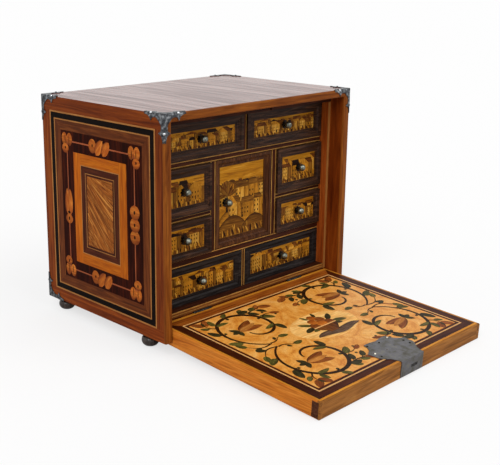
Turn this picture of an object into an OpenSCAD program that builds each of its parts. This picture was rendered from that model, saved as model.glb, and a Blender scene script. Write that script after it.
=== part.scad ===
// Table cabinet with a fall front, eight drawers and a small cupboard.
// Millimetres, +Z up, front towards -Y, feet on z = 0, seen with the fall open.

/* [Carcass] */
// Outside width across the two side boards
body_w = 450; // [430:2:470]
// Outside depth of the carcass, front edge to back
body_d = 318; // [300:2:336]
// Height of the carcass without its feet
body_h = 366; // [360:1:380]
// Thickness of the two side boards
side_t = 15; // [14:0.5:17]
// Thickness of the top board
top_t = 14; // [13:0.5:16]
// Thickness of the bottom board
base_t = 22; // [21:0.5:24]
// Thickness of the back board
back_t = 12; // [10:0.5:14]
// Depth of the rounded bead glued to the front edges
bead_d = 4; // [3.5:0.5:6]

/* [Inner case] */
// Thickness of the side linings, which also stop the closed fall
lining_t = 7.5; // [6.5:0.5:9]
// Thickness of the lining under the top board
ceiling_t = 11; // [9:0.5:12]
// Thickness of the lining on the bottom board
sill_t = 10.5; // [9:0.5:12]
// How far the dividers stand behind the front edges of the linings
setback = 17; // [16:0.5:20]
// Clear height of the top row of drawers
top_row_h = 64; // [58:1:68]
// Clear height of the bottom row of drawers
bottom_row_h = 67.5; // [60:0.5:70]
// Thickness of the divider over the cupboard
upper_div_t = 10; // [9:0.5:12]
// Thickness of the divider under the cupboard
lower_div_t = 13; // [10:0.5:14]
// Clear width of the cupboard behind the small door
door_open_w = 139; // [130:1:146]
// Thickness of the two upright partitions
partition_t = 12; // [10:0.5:13]
// Thickness of the shelf between two stacked small drawers
shelf_t = 8.5; // [8:0.5:10]
// Clear height of the lower of the two stacked small drawers
lower_small_h = 64.5; // [60:0.5:68]
// Thickness of the uprights in the middle of the long rows
mullion_t = 8; // [7:0.5:10]
// Depth of the grooves that house dividers and partitions
housing = 3; // [2:0.5:4]

/* [Drawers and door] */
// Gap left and right of a drawer in its opening
drawer_gap = 0.75; // [0.5:0.05:1]
// Gap between a drawer and the board it slides on
seat_gap = 0.3; // [0.25:0.05:0.5]
// Gap above a drawer
head_gap = 1; // [0.8:0.1:1.5]
// Thickness of drawer sides and backs
drawer_t = 6; // [5:0.5:7]
// Thickness of drawer bottoms
drawer_bottom_t = 4; // [3:0.5:5]
// Thickness of the board behind a marquetry panel
front_t = 8.8; // [8:0.2:10]
// Thickness of the marquetry veneers
veneer_t = 1.2; // [1:0.1:1.5]
// Height of the stepped moulding on a drawer front
moulding_h = 4; // [3.5:0.25:4.5]
// Gap around the small door
door_gap = 0.8; // [0.7:0.1:1]

/* [Fall] */
// Thickness of the fall
fall_t = 28.5; // [26:0.5:29]
// Height of the hinge axis over the underside of the carcass
hinge_z = 21; // [20:0.5:22]
// Depth of the hinge axis behind the front plane
hinge_y = 30.7; // [30:0.1:32]
// Gap between the fall and each side board
fall_gap = 0.75; // [0.5:0.05:1]
// Width of the lipping around the fall
lipping_t = 6; // [5:0.5:8]
// Distance of each hinge from the middle of the fall
hinge_x = 117; // [100:1:150]
// Distance of the lock from the middle of the fall, to the right
lock_x = 11; // [0:1:20]

/* [Feet and iron] */
// Height of the bun feet
foot_h = 25; // [23:0.5:27]
// Greatest diameter of the bun feet
foot_d = 29.4; // [27:0.2:31]
// Thickness of the sheet iron
iron_t = 1.2; // [1:0.1:1.5]
// Length of each arm of a corner mount
arm_l = 44; // [40:1:50]
// Diameter of a knob
knob_d = 13; // [12:0.2:13.6]

/* [Hidden] */
$fn = 48;
fit = 0.05;
// Glue line kept open between glued pieces that share a node
glue = 0.05;
rt2 = sqrt(2);
bead_r = 3;
half_w = body_w / 2;
in_w = half_w - side_t;
case_w = in_w - lining_t;

nail_r = 2.1;
nail_h = 1.1;
nail_sphere = (nail_r * nail_r + nail_h * nail_h) / (2 * nail_h);
nail_shank = 0.75;
nail_reach = iron_t / rt2 + nail_sphere - (nail_sphere - nail_h) / rt2;

hinge_back = 0.75;
strap_gap = 0.8;
rest_gap = 0.4;
fall_w = 2 * (in_w - fall_gap);
fall_l = body_h - top_t - strap_gap - iron_t - hinge_z - hinge_back;
reach = hinge_back + fall_l;
drop = foot_h + hinge_z - rest_gap;
tilt_a = asin((drop - fall_t) / reach);
tilt_b = asin((drop - fall_t * cos(tilt_a)) / reach);
tilt = asin((drop - fall_t * cos(tilt_b)) / reach);

fall_tip = (reach + iron_t) * cos(tilt) + iron_t * sin(tilt);
y0 = -(hinge_y - fall_tip + body_d + nail_reach) / 2;
z0 = foot_h;

lining_y = hinge_y + 0.3;
case_y = lining_y + setback;
back_y = body_d - back_t;
case_d = back_y - case_y;
floor_z = base_t + sill_t;
ceil_z = body_h - top_t - ceiling_t;
low_z = floor_z + bottom_row_h;
door_z0 = low_z + lower_div_t;
high_z = ceil_z - top_row_h;
door_z1 = high_z - upper_div_t;
shelf_z0 = door_z0 + lower_small_h;
shelf_z1 = shelf_z0 + shelf_t;
door_x = door_open_w / 2;
part_x = door_x + partition_t;

// One row per drawer: x0, x1, z0, z1, stand of the front before the
// dividers, moulding width left and right, moulding width top and bottom.
DRAWERS = [
    [-case_w, -mullion_t / 2, high_z, ceil_z, 3, 19, 16.5],
    [mullion_t / 2, case_w, high_z, ceil_z, 3, 19, 16.5],
    [-case_w, -part_x, shelf_z1, door_z1, 5, 14.5, 16],
    [part_x, case_w, shelf_z1, door_z1, 5, 14.5, 16],
    [-case_w, -part_x, door_z0, shelf_z0, 5, 14.5, 12],
    [part_x, case_w, door_z0, shelf_z0, 5, 14.5, 12],
    [-case_w, -mullion_t / 2, floor_z, low_z, 1, 17, 14.5],
    [mullion_t / 2, case_w, floor_z, low_z, 1, 17, 14.5],
];
stop_gap = 2;
drawer_end = back_y - stop_gap;
lap = 6;

door_stand = 0.5;
door_moulding_h = 6.5;
door_t = 10;
door_front = case_y - door_stand;
door_face = door_front + door_moulding_h;
pivot_x = door_x - door_gap - 3.6;
pivot_y = door_front + 2.6;
pivot_r = 1.2;
pivot_out = 5;
pivot_in = 8;

knuckle_r = 3;
knuckle_n = 5;
hinge_w = 40;
hinge_step = 0.3;
knuckle_w = (hinge_w - (knuckle_n - 1) * hinge_step) / knuckle_n;
leaf_h = 18;
pin_r = 1.2;

case_l = 42;
case_wd = 50;
case_h = 18;
case_wall = 2;
bolt_w = 16;
bolt_t = 4.5;
bolt_z = -13.75;
bolt_x = lock_x + 6;
key_x = lock_x - 8;
bolt_len = 38;
bolt_travel = 8;
strap_w = 58;
strap_drop = 26;
plate_half = 49;
plate_l = 71;
key_in = 30;
key_r = 1.9;
key_slot = 2.2;
key_l = 8;

// Half outline of the lock plate, in shares of its half width and length
PLATE = [
    [0, 0.958], [0.286, 1], [0.571, 0.993], [0.612, 0.873], [0.735, 0.761], [0.878, 0.704],
    [1, 0.662], [0.959, 0.549], [0.959, 0.423], [0.878, 0.338], [0.694, 0.211], [0.592, 0.056],
];

// Outline of one arm of a corner mount, in shares of its length
LEAF = [
    [0.955, 0.057], [0.818, 0.102], [0.75, 0.136], [0.67, 0.273], [0.591, 0.148],
    [0.409, 0.136], [0.318, 0.193],
];

foot_in = 22;
foot_front = 63;
foot_back = 22;
spigot_r = 4;
bun_r = 9.8;
bun_neck = 7;

walnut = [0.45, 0.22, 0.10];
dark_wood = [0.16, 0.09, 0.06];
black_wood = [0.09, 0.07, 0.07];
honey = [0.83, 0.58, 0.27];
oak = [0.62, 0.44, 0.26];
iron = [0.30, 0.30, 0.31];

// Block between two corners
module block(a, b) {
    translate(a) cube(b - a);
}

// Outline in Y and Z drawn out along X
module along_x(len) {
    rotate([90, 0, 90]) linear_extrude(len) children();
}

// Outline in X and Z drawn out along Y
module along_y(len) {
    translate([0, len, 0]) rotate([90, 0, 0]) linear_extrude(len) children();
}

// From the carcass frame, front plane and underside, to the part frame
module carcass() {
    translate([0, y0, z0]) children();
}

// From the frame of the fall, hinge axis at the origin, to the part frame
module fall() {
    translate([0, y0 + hinge_y, z0 + hinge_z]) rotate([tilt, 0, 0]) children();
}

// Strip with two rounded front arrises, first axis inwards
module bead_outline(w, d, r) intersection() {
    square([d, w]);
    union() {
        translate([r, 0]) square([d, w]);
        translate([0, r]) square([d, w - 2 * r]);
        translate([r, r]) circle(r);
        translate([r, w - r]) circle(r);
    }
}

// ---- carcass boards

module mount_holes() {
    for (m = [0:5]) at_corner(m) corner_nails(false, m < 2 ? bead_r : 0);
}

module top_board() color(walnut) carcass() difference() {
    block([-half_w, bead_d, body_h - top_t], [half_w, body_d, body_h]);
    mount_holes();
    strike_recess();
}

module side_board() {
    difference() {
        block([-half_w, bead_d, 0], [-in_w, body_d, body_h - top_t]);
        mount_holes();
    }
}

module left_side_board() color(walnut) carcass() side_board();

module right_side_board() color(walnut) carcass() mirror([1, 0, 0]) side_board();

module bottom_board() color(walnut) carcass() difference() {
    block([-in_w, hinge_y + 1.5, 0], [in_w, back_y, base_t]);
    hinge_notches();
    for (s = [-1, 1])
        translate([s * hinge_x - hinge_w / 2, hinge_y, hinge_z - leaf_h])
            cube([hinge_w, 1.5 + iron_t, leaf_h + 0.01]);
    for (x = [-1, 1], y = [foot_front, body_d - foot_back])
        translate([x * (half_w - foot_in), y, -1]) cylinder(r = spigot_r + fit, h = 14.5);
}

module back_board() color(walnut) carcass() difference() {
    block([-in_w, back_y, 0], [in_w, body_d, body_h - top_t]);
    mount_holes();
}

// Front slab with its outer arrises rounded in plan and in section
module bead_envelope() {
    intersection() {
        linear_extrude(body_h) {
            translate([-half_w + bead_r, 0]) square([body_w - 2 * bead_r, bead_d]);
            translate([-half_w, bead_r]) square([body_w, bead_d - bead_r]);
            for (s = [-1, 1]) translate([s * (half_w - bead_r), bead_r]) circle(bead_r);
        }
        translate([-half_w, 0, 0]) along_x(body_w) {
            square([bead_d, body_h - bead_r]);
            translate([bead_r, 0]) square([bead_d - bead_r, body_h]);
            translate([bead_r, body_h - bead_r]) circle(bead_r);
        }
    }
}

module front_edge_beads() color(walnut) carcass() difference() {
    intersection() {
        bead_envelope();
        bead_lengths();
    }
    mount_holes();
}

module bead_lengths() {
    intersection() {
        translate([-half_w, 0, body_h - top_t]) along_x(body_w)
            bead_outline(top_t, bead_d, bead_r);
        translate([0, -1, 0]) along_y(bead_d + 2) polygon([
            [-half_w + 2 * glue, body_h], [half_w - 2 * glue, body_h],
            [in_w - 2 * glue, body_h - top_t], [-in_w + 2 * glue, body_h - top_t]]);
    }
    for (s = [0, 1]) mirror([s, 0, 0]) intersection() {
        translate([-half_w, 0, 0]) linear_extrude(body_h) mirror([1, -1, 0])
            bead_outline(side_t, bead_d, bead_r);
        translate([0, -1, 0]) along_y(bead_d + 2) polygon([
            [-half_w, 0], [-in_w, 0], [-in_w, body_h - top_t], [-half_w, body_h]]);
    }
}

// ---- inner case

module side_lining() difference() {
    block([-in_w, lining_y, floor_z], [-case_w, back_y, ceil_z]);
    for (z = [[low_z, door_z0], [shelf_z0, shelf_z1], [door_z1, high_z]])
        block([-case_w - housing, case_y, z[0]], [-case_w + 1, back_y + 1, z[1]]);
}

module left_lining() color(walnut) carcass() side_lining();

module right_lining() color(walnut) carcass() mirror([1, 0, 0]) side_lining();

module top_lining() color(walnut) carcass() difference() {
    block([-in_w, lining_y, ceil_z], [in_w, back_y, body_h - top_t]);
    block([-mullion_t / 2, case_y, ceil_z - 1], [mullion_t / 2, back_y + 1, ceil_z + housing]);
    block([lock_x - strap_w / 2 - 8, lining_y - 1, ceil_z - 1],
          [lock_x + strap_w / 2 + 8, lining_y + 2, body_h - top_t + 1]);
}

module bottom_lining() color(walnut) carcass() difference() {
    block([-in_w, lining_y, base_t], [in_w, back_y, floor_z]);
    block([-mullion_t / 2, case_y, floor_z - housing], [mullion_t / 2, back_y + 1, floor_z + 1]);
    hinge_notches();
}

module upper_divider() color(dark_wood) carcass() difference() {
    block([-case_w - housing, case_y, door_z1], [case_w + housing, back_y, high_z]);
    for (s = [0, 1]) mirror([s, 0, 0])
        block([-part_x, case_y - 1, door_z1 - 1], [-door_x, back_y + 1, door_z1 + housing]);
    block([-mullion_t / 2, case_y - 1, high_z - housing], [mullion_t / 2, back_y + 1, high_z + 1]);
    translate([pivot_x, pivot_y, door_z1 - 1]) cylinder(r = pivot_r + fit, h = pivot_out + 1.5);
}

module lower_divider() color(dark_wood) carcass() difference() {
    block([-case_w - housing, case_y, low_z], [case_w + housing, back_y, door_z0]);
    for (s = [0, 1]) mirror([s, 0, 0])
        block([-part_x, case_y - 1, door_z0 - housing], [-door_x, back_y + 1, door_z0 + 1]);
    block([-mullion_t / 2, case_y - 1, low_z - 1], [mullion_t / 2, back_y + 1, low_z + housing]);
    translate([pivot_x, pivot_y, door_z0 - pivot_out - 0.5])
        cylinder(r = pivot_r + fit, h = pivot_out + 1.5);
}

module partition() difference() {
    block([-part_x, case_y, door_z0 - housing], [-door_x, back_y, door_z1 + housing]);
    block([-part_x - 1, case_y - 1, shelf_z0], [-part_x + housing, back_y + 1, shelf_z1]);
}

module left_partition() color(dark_wood) carcass() partition();

module right_partition() color(dark_wood) carcass() mirror([1, 0, 0]) partition();

module shelf() block([-case_w - housing, case_y, shelf_z0], [-part_x + housing, back_y, shelf_z1]);

module left_shelf() color(dark_wood) carcass() shelf();

module right_shelf() color(dark_wood) carcass() mirror([1, 0, 0]) shelf();

module top_row_divider() color(dark_wood) carcass()
    block([-mullion_t / 2, case_y, high_z - housing], [mullion_t / 2, back_y, ceil_z + housing]);

module bottom_row_divider() color(dark_wood) carcass()
    block([-mullion_t / 2, case_y, floor_z - housing], [mullion_t / 2, back_y, low_z + housing]);

// ---- drawers

// Cross-section of the stepped moulding: first axis towards the viewer (negative),
// second axis from the outer edge to the panel
function moulding_points(m, h) = [
    [-glue, 0], [-h, 0], [-h, 0.36 * m], [-0.80 * h, 0.36 * m], [-0.80 * h, 0.43 * m],
    [-0.62 * h, 0.52 * m], [-0.45 * h, 0.64 * m], [-0.36 * h, 0.64 * m],
    [-0.36 * h, 0.82 * m], [-0.20 * h, 0.82 * m], [-0.20 * h, m], [-glue, m]];

// One mitred length along X; its mitres run ma wide at the ends and m high
module moulding_length(w, m, ma, h) intersection() {
    along_x(w) polygon(moulding_points(m, h));
    translate([0, -h - 1, 0]) along_y(h + 2)
        polygon([[glue, 0], [w - glue, 0], [w - ma - glue, m], [ma + glue, m]]);
}

// Four mitred lengths round a rectangle w by v, lying before the plane y = 0
module moulding_frame(w, v, mx, mz, h) {
    moulding_length(w, mz, mx, h);
    translate([0, 0, v]) mirror([0, 0, 1]) moulding_length(w, mz, mx, h);
    mirror([1, 0, -1]) moulding_length(v, mx, mz, h);
    translate([w, 0, 0]) mirror([1, 0, 0]) mirror([1, 0, -1]) moulding_length(v, mx, mz, h);
}

function dr_x0(d) = d[0] + drawer_gap;
function dr_x1(d) = d[1] - drawer_gap;
function dr_z0(d) = d[2] + seat_gap;
function dr_z1(d) = d[3] - head_gap;
function dr_face(d) = case_y - d[4] + moulding_h;
function dr_board(d) = dr_face(d) + veneer_t;
function dr_inner(d) = dr_board(d) + front_t;

// Side of a drawer with dovetails at both ends, as an outline in Y and Z,
// grown by g where it is cut out of the front or the back
module dovetailed_outline(d, g) {
    a = dr_inner(d) - lap;
    b = drawer_end;
    v = dr_z1(d) - dr_z0(d) - drawer_bottom_t;
    n = v > 60 ? 3 : 2;
    pitch = v / n;
    difference() {
        translate([-g, -g]) square([b - a + 2 * g, v + 2 * g]);
        for (i = [0:n]) translate([0, i * pitch]) {
            polygon([[-1, g - 2.2], [lap - g, g - 4], [lap - g, 4 - g], [-1, 2.2 - g]]);
            polygon([[b - a + 1, g - 2.2], [b - a - drawer_t + g, g - 4],
                     [b - a - drawer_t + g, 4 - g], [b - a + 1, 2.2 - g]]);
        }
    }
}

module drawer_side(d, x, g) {
    translate([x - g, dr_inner(d) - lap, dr_z0(d) + drawer_bottom_t])
        along_x(drawer_t + 2 * g) dovetailed_outline(d, g);
}

module drawer_sides(d, g = 0) {
    drawer_side(d, dr_x0(d), g);
    drawer_side(d, dr_x1(d) - drawer_t, g);
}

module drawer_box(d) carcass() {
    drawer_sides(d);
    difference() {
        block([dr_x0(d), drawer_end - drawer_t, dr_z0(d) + drawer_bottom_t],
              [dr_x1(d), drawer_end, dr_z1(d)]);
        drawer_sides(d, glue);
    }
    block([dr_x0(d), dr_inner(d), dr_z0(d)],
          [dr_x1(d), drawer_end, dr_z0(d) + drawer_bottom_t - glue]);
}

module drawer_front(d) carcass() {
    cx = (dr_x0(d) + dr_x1(d)) / 2;
    cz = (dr_z0(d) + dr_z1(d)) / 2;
    difference() {
        block([dr_x0(d), dr_board(d) + glue, dr_z0(d)], [dr_x1(d), dr_inner(d), dr_z1(d)]);
        drawer_sides(d, glue);
        translate([cx, dr_face(d), cz]) knob_hole();
    }
    difference() {
        block([dr_x0(d), dr_face(d), dr_z0(d)], [dr_x1(d), dr_board(d), dr_z1(d)]);
        translate([cx, dr_face(d), cz]) knob_hole();
    }
    translate([dr_x0(d), dr_face(d), dr_z0(d)])
        moulding_frame(dr_x1(d) - dr_x0(d), dr_z1(d) - dr_z0(d), d[5], d[6], moulding_h);
}

module drawer_knob(d) carcass()
    translate([(dr_x0(d) + dr_x1(d)) / 2, dr_face(d), (dr_z0(d) + dr_z1(d)) / 2]) knob();

// Turned knob on a scalloped rose, standing on the plane y = 0 towards -Y
knob_c = 15 - knob_d / 2;

module knob() rotate([90, 0, 0]) {
    linear_extrude(iron_t) {
        circle(6.2);
        for (a = [0:45:315]) rotate(a) translate([5.9, 0]) circle(2);
    }
    rotate_extrude() {
        square([3.6, iron_t + 1.2]);
        square([2.1, knob_c]);
        intersection() {
            translate([0, knob_c]) circle(knob_d / 2);
            square([knob_d, 2 * knob_c]);
        }
    }
    translate([0, 0, -7]) cylinder(r = 1.6, h = 8);
}

module knob_hole() rotate([-90, 0, 0]) translate([0, 0, -1]) cylinder(r = 1.6 + fit, h = 8.5);

module top_left_drawer_box() color(oak) drawer_box(DRAWERS[0]);
module top_left_drawer_front() color(honey) drawer_front(DRAWERS[0]);
module top_left_drawer_knob() color(iron) drawer_knob(DRAWERS[0]);
module top_right_drawer_box() color(oak) drawer_box(DRAWERS[1]);
module top_right_drawer_front() color(honey) drawer_front(DRAWERS[1]);
module top_right_drawer_knob() color(iron) drawer_knob(DRAWERS[1]);
module upper_left_drawer_box() color(oak) drawer_box(DRAWERS[2]);
module upper_left_drawer_front() color(honey) drawer_front(DRAWERS[2]);
module upper_left_drawer_knob() color(iron) drawer_knob(DRAWERS[2]);
module upper_right_drawer_box() color(oak) drawer_box(DRAWERS[3]);
module upper_right_drawer_front() color(honey) drawer_front(DRAWERS[3]);
module upper_right_drawer_knob() color(iron) drawer_knob(DRAWERS[3]);
module lower_left_drawer_box() color(oak) drawer_box(DRAWERS[4]);
module lower_left_drawer_front() color(honey) drawer_front(DRAWERS[4]);
module lower_left_drawer_knob() color(iron) drawer_knob(DRAWERS[4]);
module lower_right_drawer_box() color(oak) drawer_box(DRAWERS[5]);
module lower_right_drawer_front() color(honey) drawer_front(DRAWERS[5]);
module lower_right_drawer_knob() color(iron) drawer_knob(DRAWERS[5]);
module bottom_left_drawer_box() color(oak) drawer_box(DRAWERS[6]);
module bottom_left_drawer_front() color(honey) drawer_front(DRAWERS[6]);
module bottom_left_drawer_knob() color(iron) drawer_knob(DRAWERS[6]);
module bottom_right_drawer_box() color(oak) drawer_box(DRAWERS[7]);
module bottom_right_drawer_front() color(honey) drawer_front(DRAWERS[7]);
module bottom_right_drawer_knob() color(iron) drawer_knob(DRAWERS[7]);

// ---- small door on hidden pivot pins, hung on the right

door_z = [door_z0 + 1, door_z1 - 1];
door_knob_x = -39.5;
door_knob_z = (door_z[0] + door_z[1]) / 2;

module pivot_holes() translate([pivot_x, pivot_y, 0]) {
    translate([0, 0, door_z[0] - 1]) cylinder(r = pivot_r + fit, h = pivot_in + 1.5);
    translate([0, 0, door_z[1] - pivot_in - 0.5]) cylinder(r = pivot_r + fit, h = pivot_in + 1.5);
}

module door_board() color(honey) carcass() difference() {
    union() {
        block([-door_x + door_gap, door_face + veneer_t + glue, door_z[0]],
              [door_x - door_gap, door_face + door_t, door_z[1]]);
        block([-door_x + door_gap, door_face, door_z[0]],
              [door_x - door_gap, door_face + veneer_t, door_z[1]]);
    }
    translate([door_knob_x, door_face, door_knob_z]) knob_hole();
}

module door_moulding() color(black_wood) carcass() difference() {
    translate([-door_x + door_gap, door_face, door_z[0]])
        moulding_frame(2 * (door_x - door_gap), door_z[1] - door_z[0], 14, 13.5, door_moulding_h);
    pivot_holes();
    translate([door_x - door_gap, door_front, 0]) rotate([0, 0, -45])
        translate([-1 / rt2, -5, 0]) cube([10, 10, body_h]);
}

module door_knob() color(iron) carcass()
    translate([door_knob_x, door_face, door_knob_z]) knob();

module door_pivot_pins() color(iron) carcass() translate([pivot_x, pivot_y, 0]) {
    translate([0, 0, door_z0 - pivot_out]) cylinder(r = pivot_r, h = pivot_out + 1 + pivot_in);
    translate([0, 0, door_z[1] - pivot_in]) cylinder(r = pivot_r, h = pivot_in + 1 + pivot_out);
}

// ---- fall

module fall_block(x0, x1, s0, s1, za, zb) block([x0, -s1, za], [x1, -s0, zb]);

module fall_board() color(honey) fall() difference() {
    fall_block(-fall_w / 2 + lipping_t, fall_w / 2 - lipping_t,
               hinge_back, reach - lipping_t, -fall_t, 0);
    for (s = [-1, 1]) translate([s * hinge_x, 0, 0]) {
        translate([-hinge_w / 2 - 0.5, 0, 0]) rotate([0, 90, 0])
            cylinder(r = knuckle_r + 0.4, h = hinge_w + 1);
        fall_block(-hinge_w / 2, hinge_w / 2, hinge_back - 1, hinge_back + iron_t, -leaf_h, 1);
    }
    fall_block(lock_x - case_wd / 2, lock_x + case_wd / 2,
               reach - lipping_t - case_l, reach - lipping_t + 1, -case_h, 1);
    keyhole(-fall_t - 1, -case_h + 1);
    lock_nail_places() translate([0, 0, -6]) cylinder(r = nail_shank + fit, h = 8);
}

module lip_outline() bead_outline(fall_t, lipping_t, 2.5);

module fall_lipping() color(walnut) fall() difference() {
    union() {
        for (s = [0, 1]) mirror([s, 0, 0]) intersection() {
            translate([-fall_w / 2, -hinge_back, -fall_t]) rotate([90, 0, 0])
                linear_extrude(fall_l) lip_outline();
            translate([0, 0, -fall_t - 1]) linear_extrude(fall_t + 2) polygon([
                [-fall_w / 2, -hinge_back], [-fall_w / 2 + lipping_t, -hinge_back],
                [-fall_w / 2 + lipping_t, -reach + lipping_t], [-fall_w / 2, -reach]]);
        }
        intersection() {
            translate([-fall_w / 2, -reach, -fall_t]) along_x(fall_w) lip_outline();
            translate([0, 0, -fall_t - 1]) linear_extrude(fall_t + 2) polygon([
                [-fall_w / 2 + 2 * glue, -reach],
                [-fall_w / 2 + lipping_t + 2 * glue, -reach + lipping_t],
                [fall_w / 2 - lipping_t - 2 * glue, -reach + lipping_t],
                [fall_w / 2 - 2 * glue, -reach]]);
        }
    }
    bolt_channel(0.25);
    lock_nail_places() translate([0, 0, -6]) cylinder(r = nail_shank + fit, h = 8);
}

// Keyhole from the outer face, a round with a slot
module keyhole(za, zb) translate([key_x, -reach + key_in, za]) linear_extrude(zb - za) {
    circle(key_r);
    translate([-key_slot / 2, -key_l]) square([key_slot, key_l]);
}

module bolt_channel(g) {
    fall_block(bolt_x - bolt_w / 2 - g, bolt_x + bolt_w / 2 + g,
               reach - lipping_t - case_wall - 1, reach + iron_t + 1,
               bolt_z - bolt_t / 2 - g, bolt_z + bolt_t / 2 + g);
}

// Plate on the inner face, widening to two shoulders, then bent over the edge
module lock_plate() color(iron) fall() difference() {
    union() {
        linear_extrude(iron_t) translate([lock_x, 0]) for (s = [0, 1]) mirror([s, 0]) polygon([
            for (p = PLATE) [p[0] * plate_half, -reach + p[1] * plate_l],
            [strap_w / 2, -reach - iron_t], [0, -reach - iron_t]]);
        fall_block(lock_x - strap_w / 2, lock_x + strap_w / 2, reach, reach + iron_t,
                   -strap_drop, iron_t);
    }
    bolt_channel(0.25);
    lock_nail_places() translate([0, 0, -1]) cylinder(r = nail_shank + fit, h = 4);
    for (p = [[-11, 39], [11, 41]])
        translate([lock_x + p[0], -reach + p[1], -1]) cylinder(r = 1.1, h = 4);
}

// Box of the lock let into the board under the plate
module lock_case() color(iron) fall() difference() {
    fall_block(lock_x - case_wd / 2, lock_x + case_wd / 2,
               reach - lipping_t - case_l, reach - lipping_t, -case_h, 0);
    fall_block(lock_x - case_wd / 2 + case_wall, lock_x + case_wd / 2 - case_wall,
               reach - lipping_t - case_l + case_wall, reach - lipping_t - case_wall,
               -case_h + case_wall, 1);
    bolt_channel(0.25);
    keyhole(-case_h - 1, -case_h + case_wall + 1);
}

module lock_bolt() color(iron) fall() {
    fall_block(bolt_x - bolt_w / 2, bolt_x + bolt_w / 2, reach + iron_t - 0.3 - bolt_len,
               reach + iron_t - 0.3, bolt_z - bolt_t / 2, bolt_z + bolt_t / 2);
}

LOCK_NAILS = [[-38, 42], [38, 42], [-26, 65], [26, 65], [-38, 30], [38, 30], [0, 61]];

module lock_nail_places() for (p = LOCK_NAILS) translate([lock_x + p[0], -reach + p[1], 0])
    children();

module dome() intersection() {
    translate([0, 0, nail_h - nail_sphere]) sphere(nail_sphere);
    cylinder(r = nail_sphere, h = 3);
}

module lock_nails() color(iron) fall() lock_nail_places() {
    translate([0, 0, iron_t]) dome();
    translate([0, 0, -5.5]) cylinder(r = nail_shank, h = 5.5 + iron_t + 0.1);
}

// ---- hinges of the fall

module hinge_notches() for (s = [-1, 1])
    translate([s * hinge_x - hinge_w / 2 - 0.5, hinge_y, hinge_z]) rotate([0, 90, 0])
        cylinder(r = knuckle_r + 0.4, h = hinge_w + 1);

module knuckles(first) for (i = [first:2:knuckle_n - 1])
    translate([i * (knuckle_w + hinge_step), 0, 0]) rotate([0, 90, 0]) children();

// Leaf against the plane at distance back from the axis, hanging down from it
module hinge_leaf(first, back) difference() {
    union() {
        block([0, back, -leaf_h], [hinge_w, back + iron_t, 0]);
        knuckles(first) cylinder(r = knuckle_r, h = knuckle_w);
    }
    knuckles(1 - first) translate([0, 0, -hinge_step])
        cylinder(r = knuckle_r + 0.35, h = knuckle_w + 2 * hinge_step);
    translate([-1, 0, 0]) rotate([0, 90, 0]) cylinder(r = pin_r + fit, h = hinge_w + 2);
}

module carcass_hinge_leaves() color(iron) carcass() for (s = [-1, 1])
    translate([s * hinge_x - hinge_w / 2, hinge_y, hinge_z]) hinge_leaf(0, 1.5);

module fall_hinge_leaves() color(iron) fall() for (s = [-1, 1])
    translate([s * hinge_x - hinge_w / 2, 0, 0]) mirror([0, 1, 0]) hinge_leaf(1, hinge_back);

module hinge_pins() color(iron) carcass() for (s = [-1, 1])
    translate([s * hinge_x - hinge_w / 2, hinge_y, hinge_z]) rotate([0, 90, 0])
        cylinder(r = pin_r, h = hinge_w);

// ---- strike for the bolt, let into the underside of the top board

strike_y = hinge_y + bolt_z;

module strike_recess() {
    block([bolt_x - 20, strike_y - 8, body_h - top_t - 1],
          [bolt_x + 20, strike_y + 8, body_h - top_t + iron_t]);
    block([bolt_x - bolt_w / 2 - 1, strike_y - 3.5, body_h - top_t - 1],
          [bolt_x + bolt_w / 2 + 1, strike_y + 3.5, body_h - top_t + 10]);
}

module strike_plate() color(iron) carcass() difference() {
    block([bolt_x - 20, strike_y - 8, body_h - top_t],
          [bolt_x + 20, strike_y + 8, body_h - top_t + iron_t]);
    block([bolt_x - bolt_w / 2 - 1, strike_y - 3.5, body_h - top_t - 1],
          [bolt_x + bolt_w / 2 + 1, strike_y + 3.5, body_h - top_t + 10]);
}

// ---- feet

module bun() {
    rotate_extrude() {
        translate([0, foot_h - 4]) square([bun_neck + 2, 4]);
        square([bun_neck, foot_h]);
        intersection() {
            translate([foot_d / 2 - bun_r, bun_r - 0.4]) circle(bun_r);
            square([foot_d, foot_h]);
        }
    }
    translate([0, 0, foot_h - 1]) cylinder(r = spigot_r, h = 14);
}

module bun_feet() color(black_wood) translate([0, y0, 0])
    for (x = [-1, 1], y = [foot_front, body_d - foot_back])
        translate([x * (half_w - foot_in), y, 0]) bun();

// ---- corner mounts, each a sheet folded over three faces

// Frames of the six corners: x, y and z run inwards along the three edges.
// 0 and 1 top front, 2 and 3 top back, 4 and 5 bottom back.
module at_corner(m) {
    left = m % 2 == 0;
    high = m < 4;
    front = m < 2;
    translate([left ? -half_w : half_w, front ? 0 : body_d, high ? body_h : 0])
        scale([left ? 1 : -1, front ? 1 : -1, high ? -1 : 1]) children();
}

// Leaf-shaped outline of one face, its two arms along both edges
module mount_outline() {
    e = iron_t;
    last = len(LEAF) - 1;
    polygon([
        [-e, -e], [arm_l, -e],
        for (p = LEAF) p * arm_l,
        for (i = [last:-1:0]) [LEAF[i][1], LEAF[i][0]] * arm_l,
        [-e, arm_l]]);
}

// Rounded block that the mount is bent round, grown by g; r is the radius of
// the two front arrises, the third one keeps a radius of g
module corner_block(g, r) {
    n = arm_l + 2;
    intersection() {
        translate([-g, -g, -g]) linear_extrude(n) rounded_corner(n, r + g);
        translate([-g, -g, -g]) along_x(n) rounded_corner(n, r + g);
        if (g > 0) translate([-g, -g, -g]) along_y(n) rounded_corner(n, g);
    }
}

// Square n wide with its corner at the origin rounded
module rounded_corner(n, r) {
    if (r > 0) {
        translate([r, 0]) square([n - r, n]);
        translate([0, r]) square([n, n - r]);
        translate([r, r]) circle(r);
    } else square(n);
}

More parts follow.
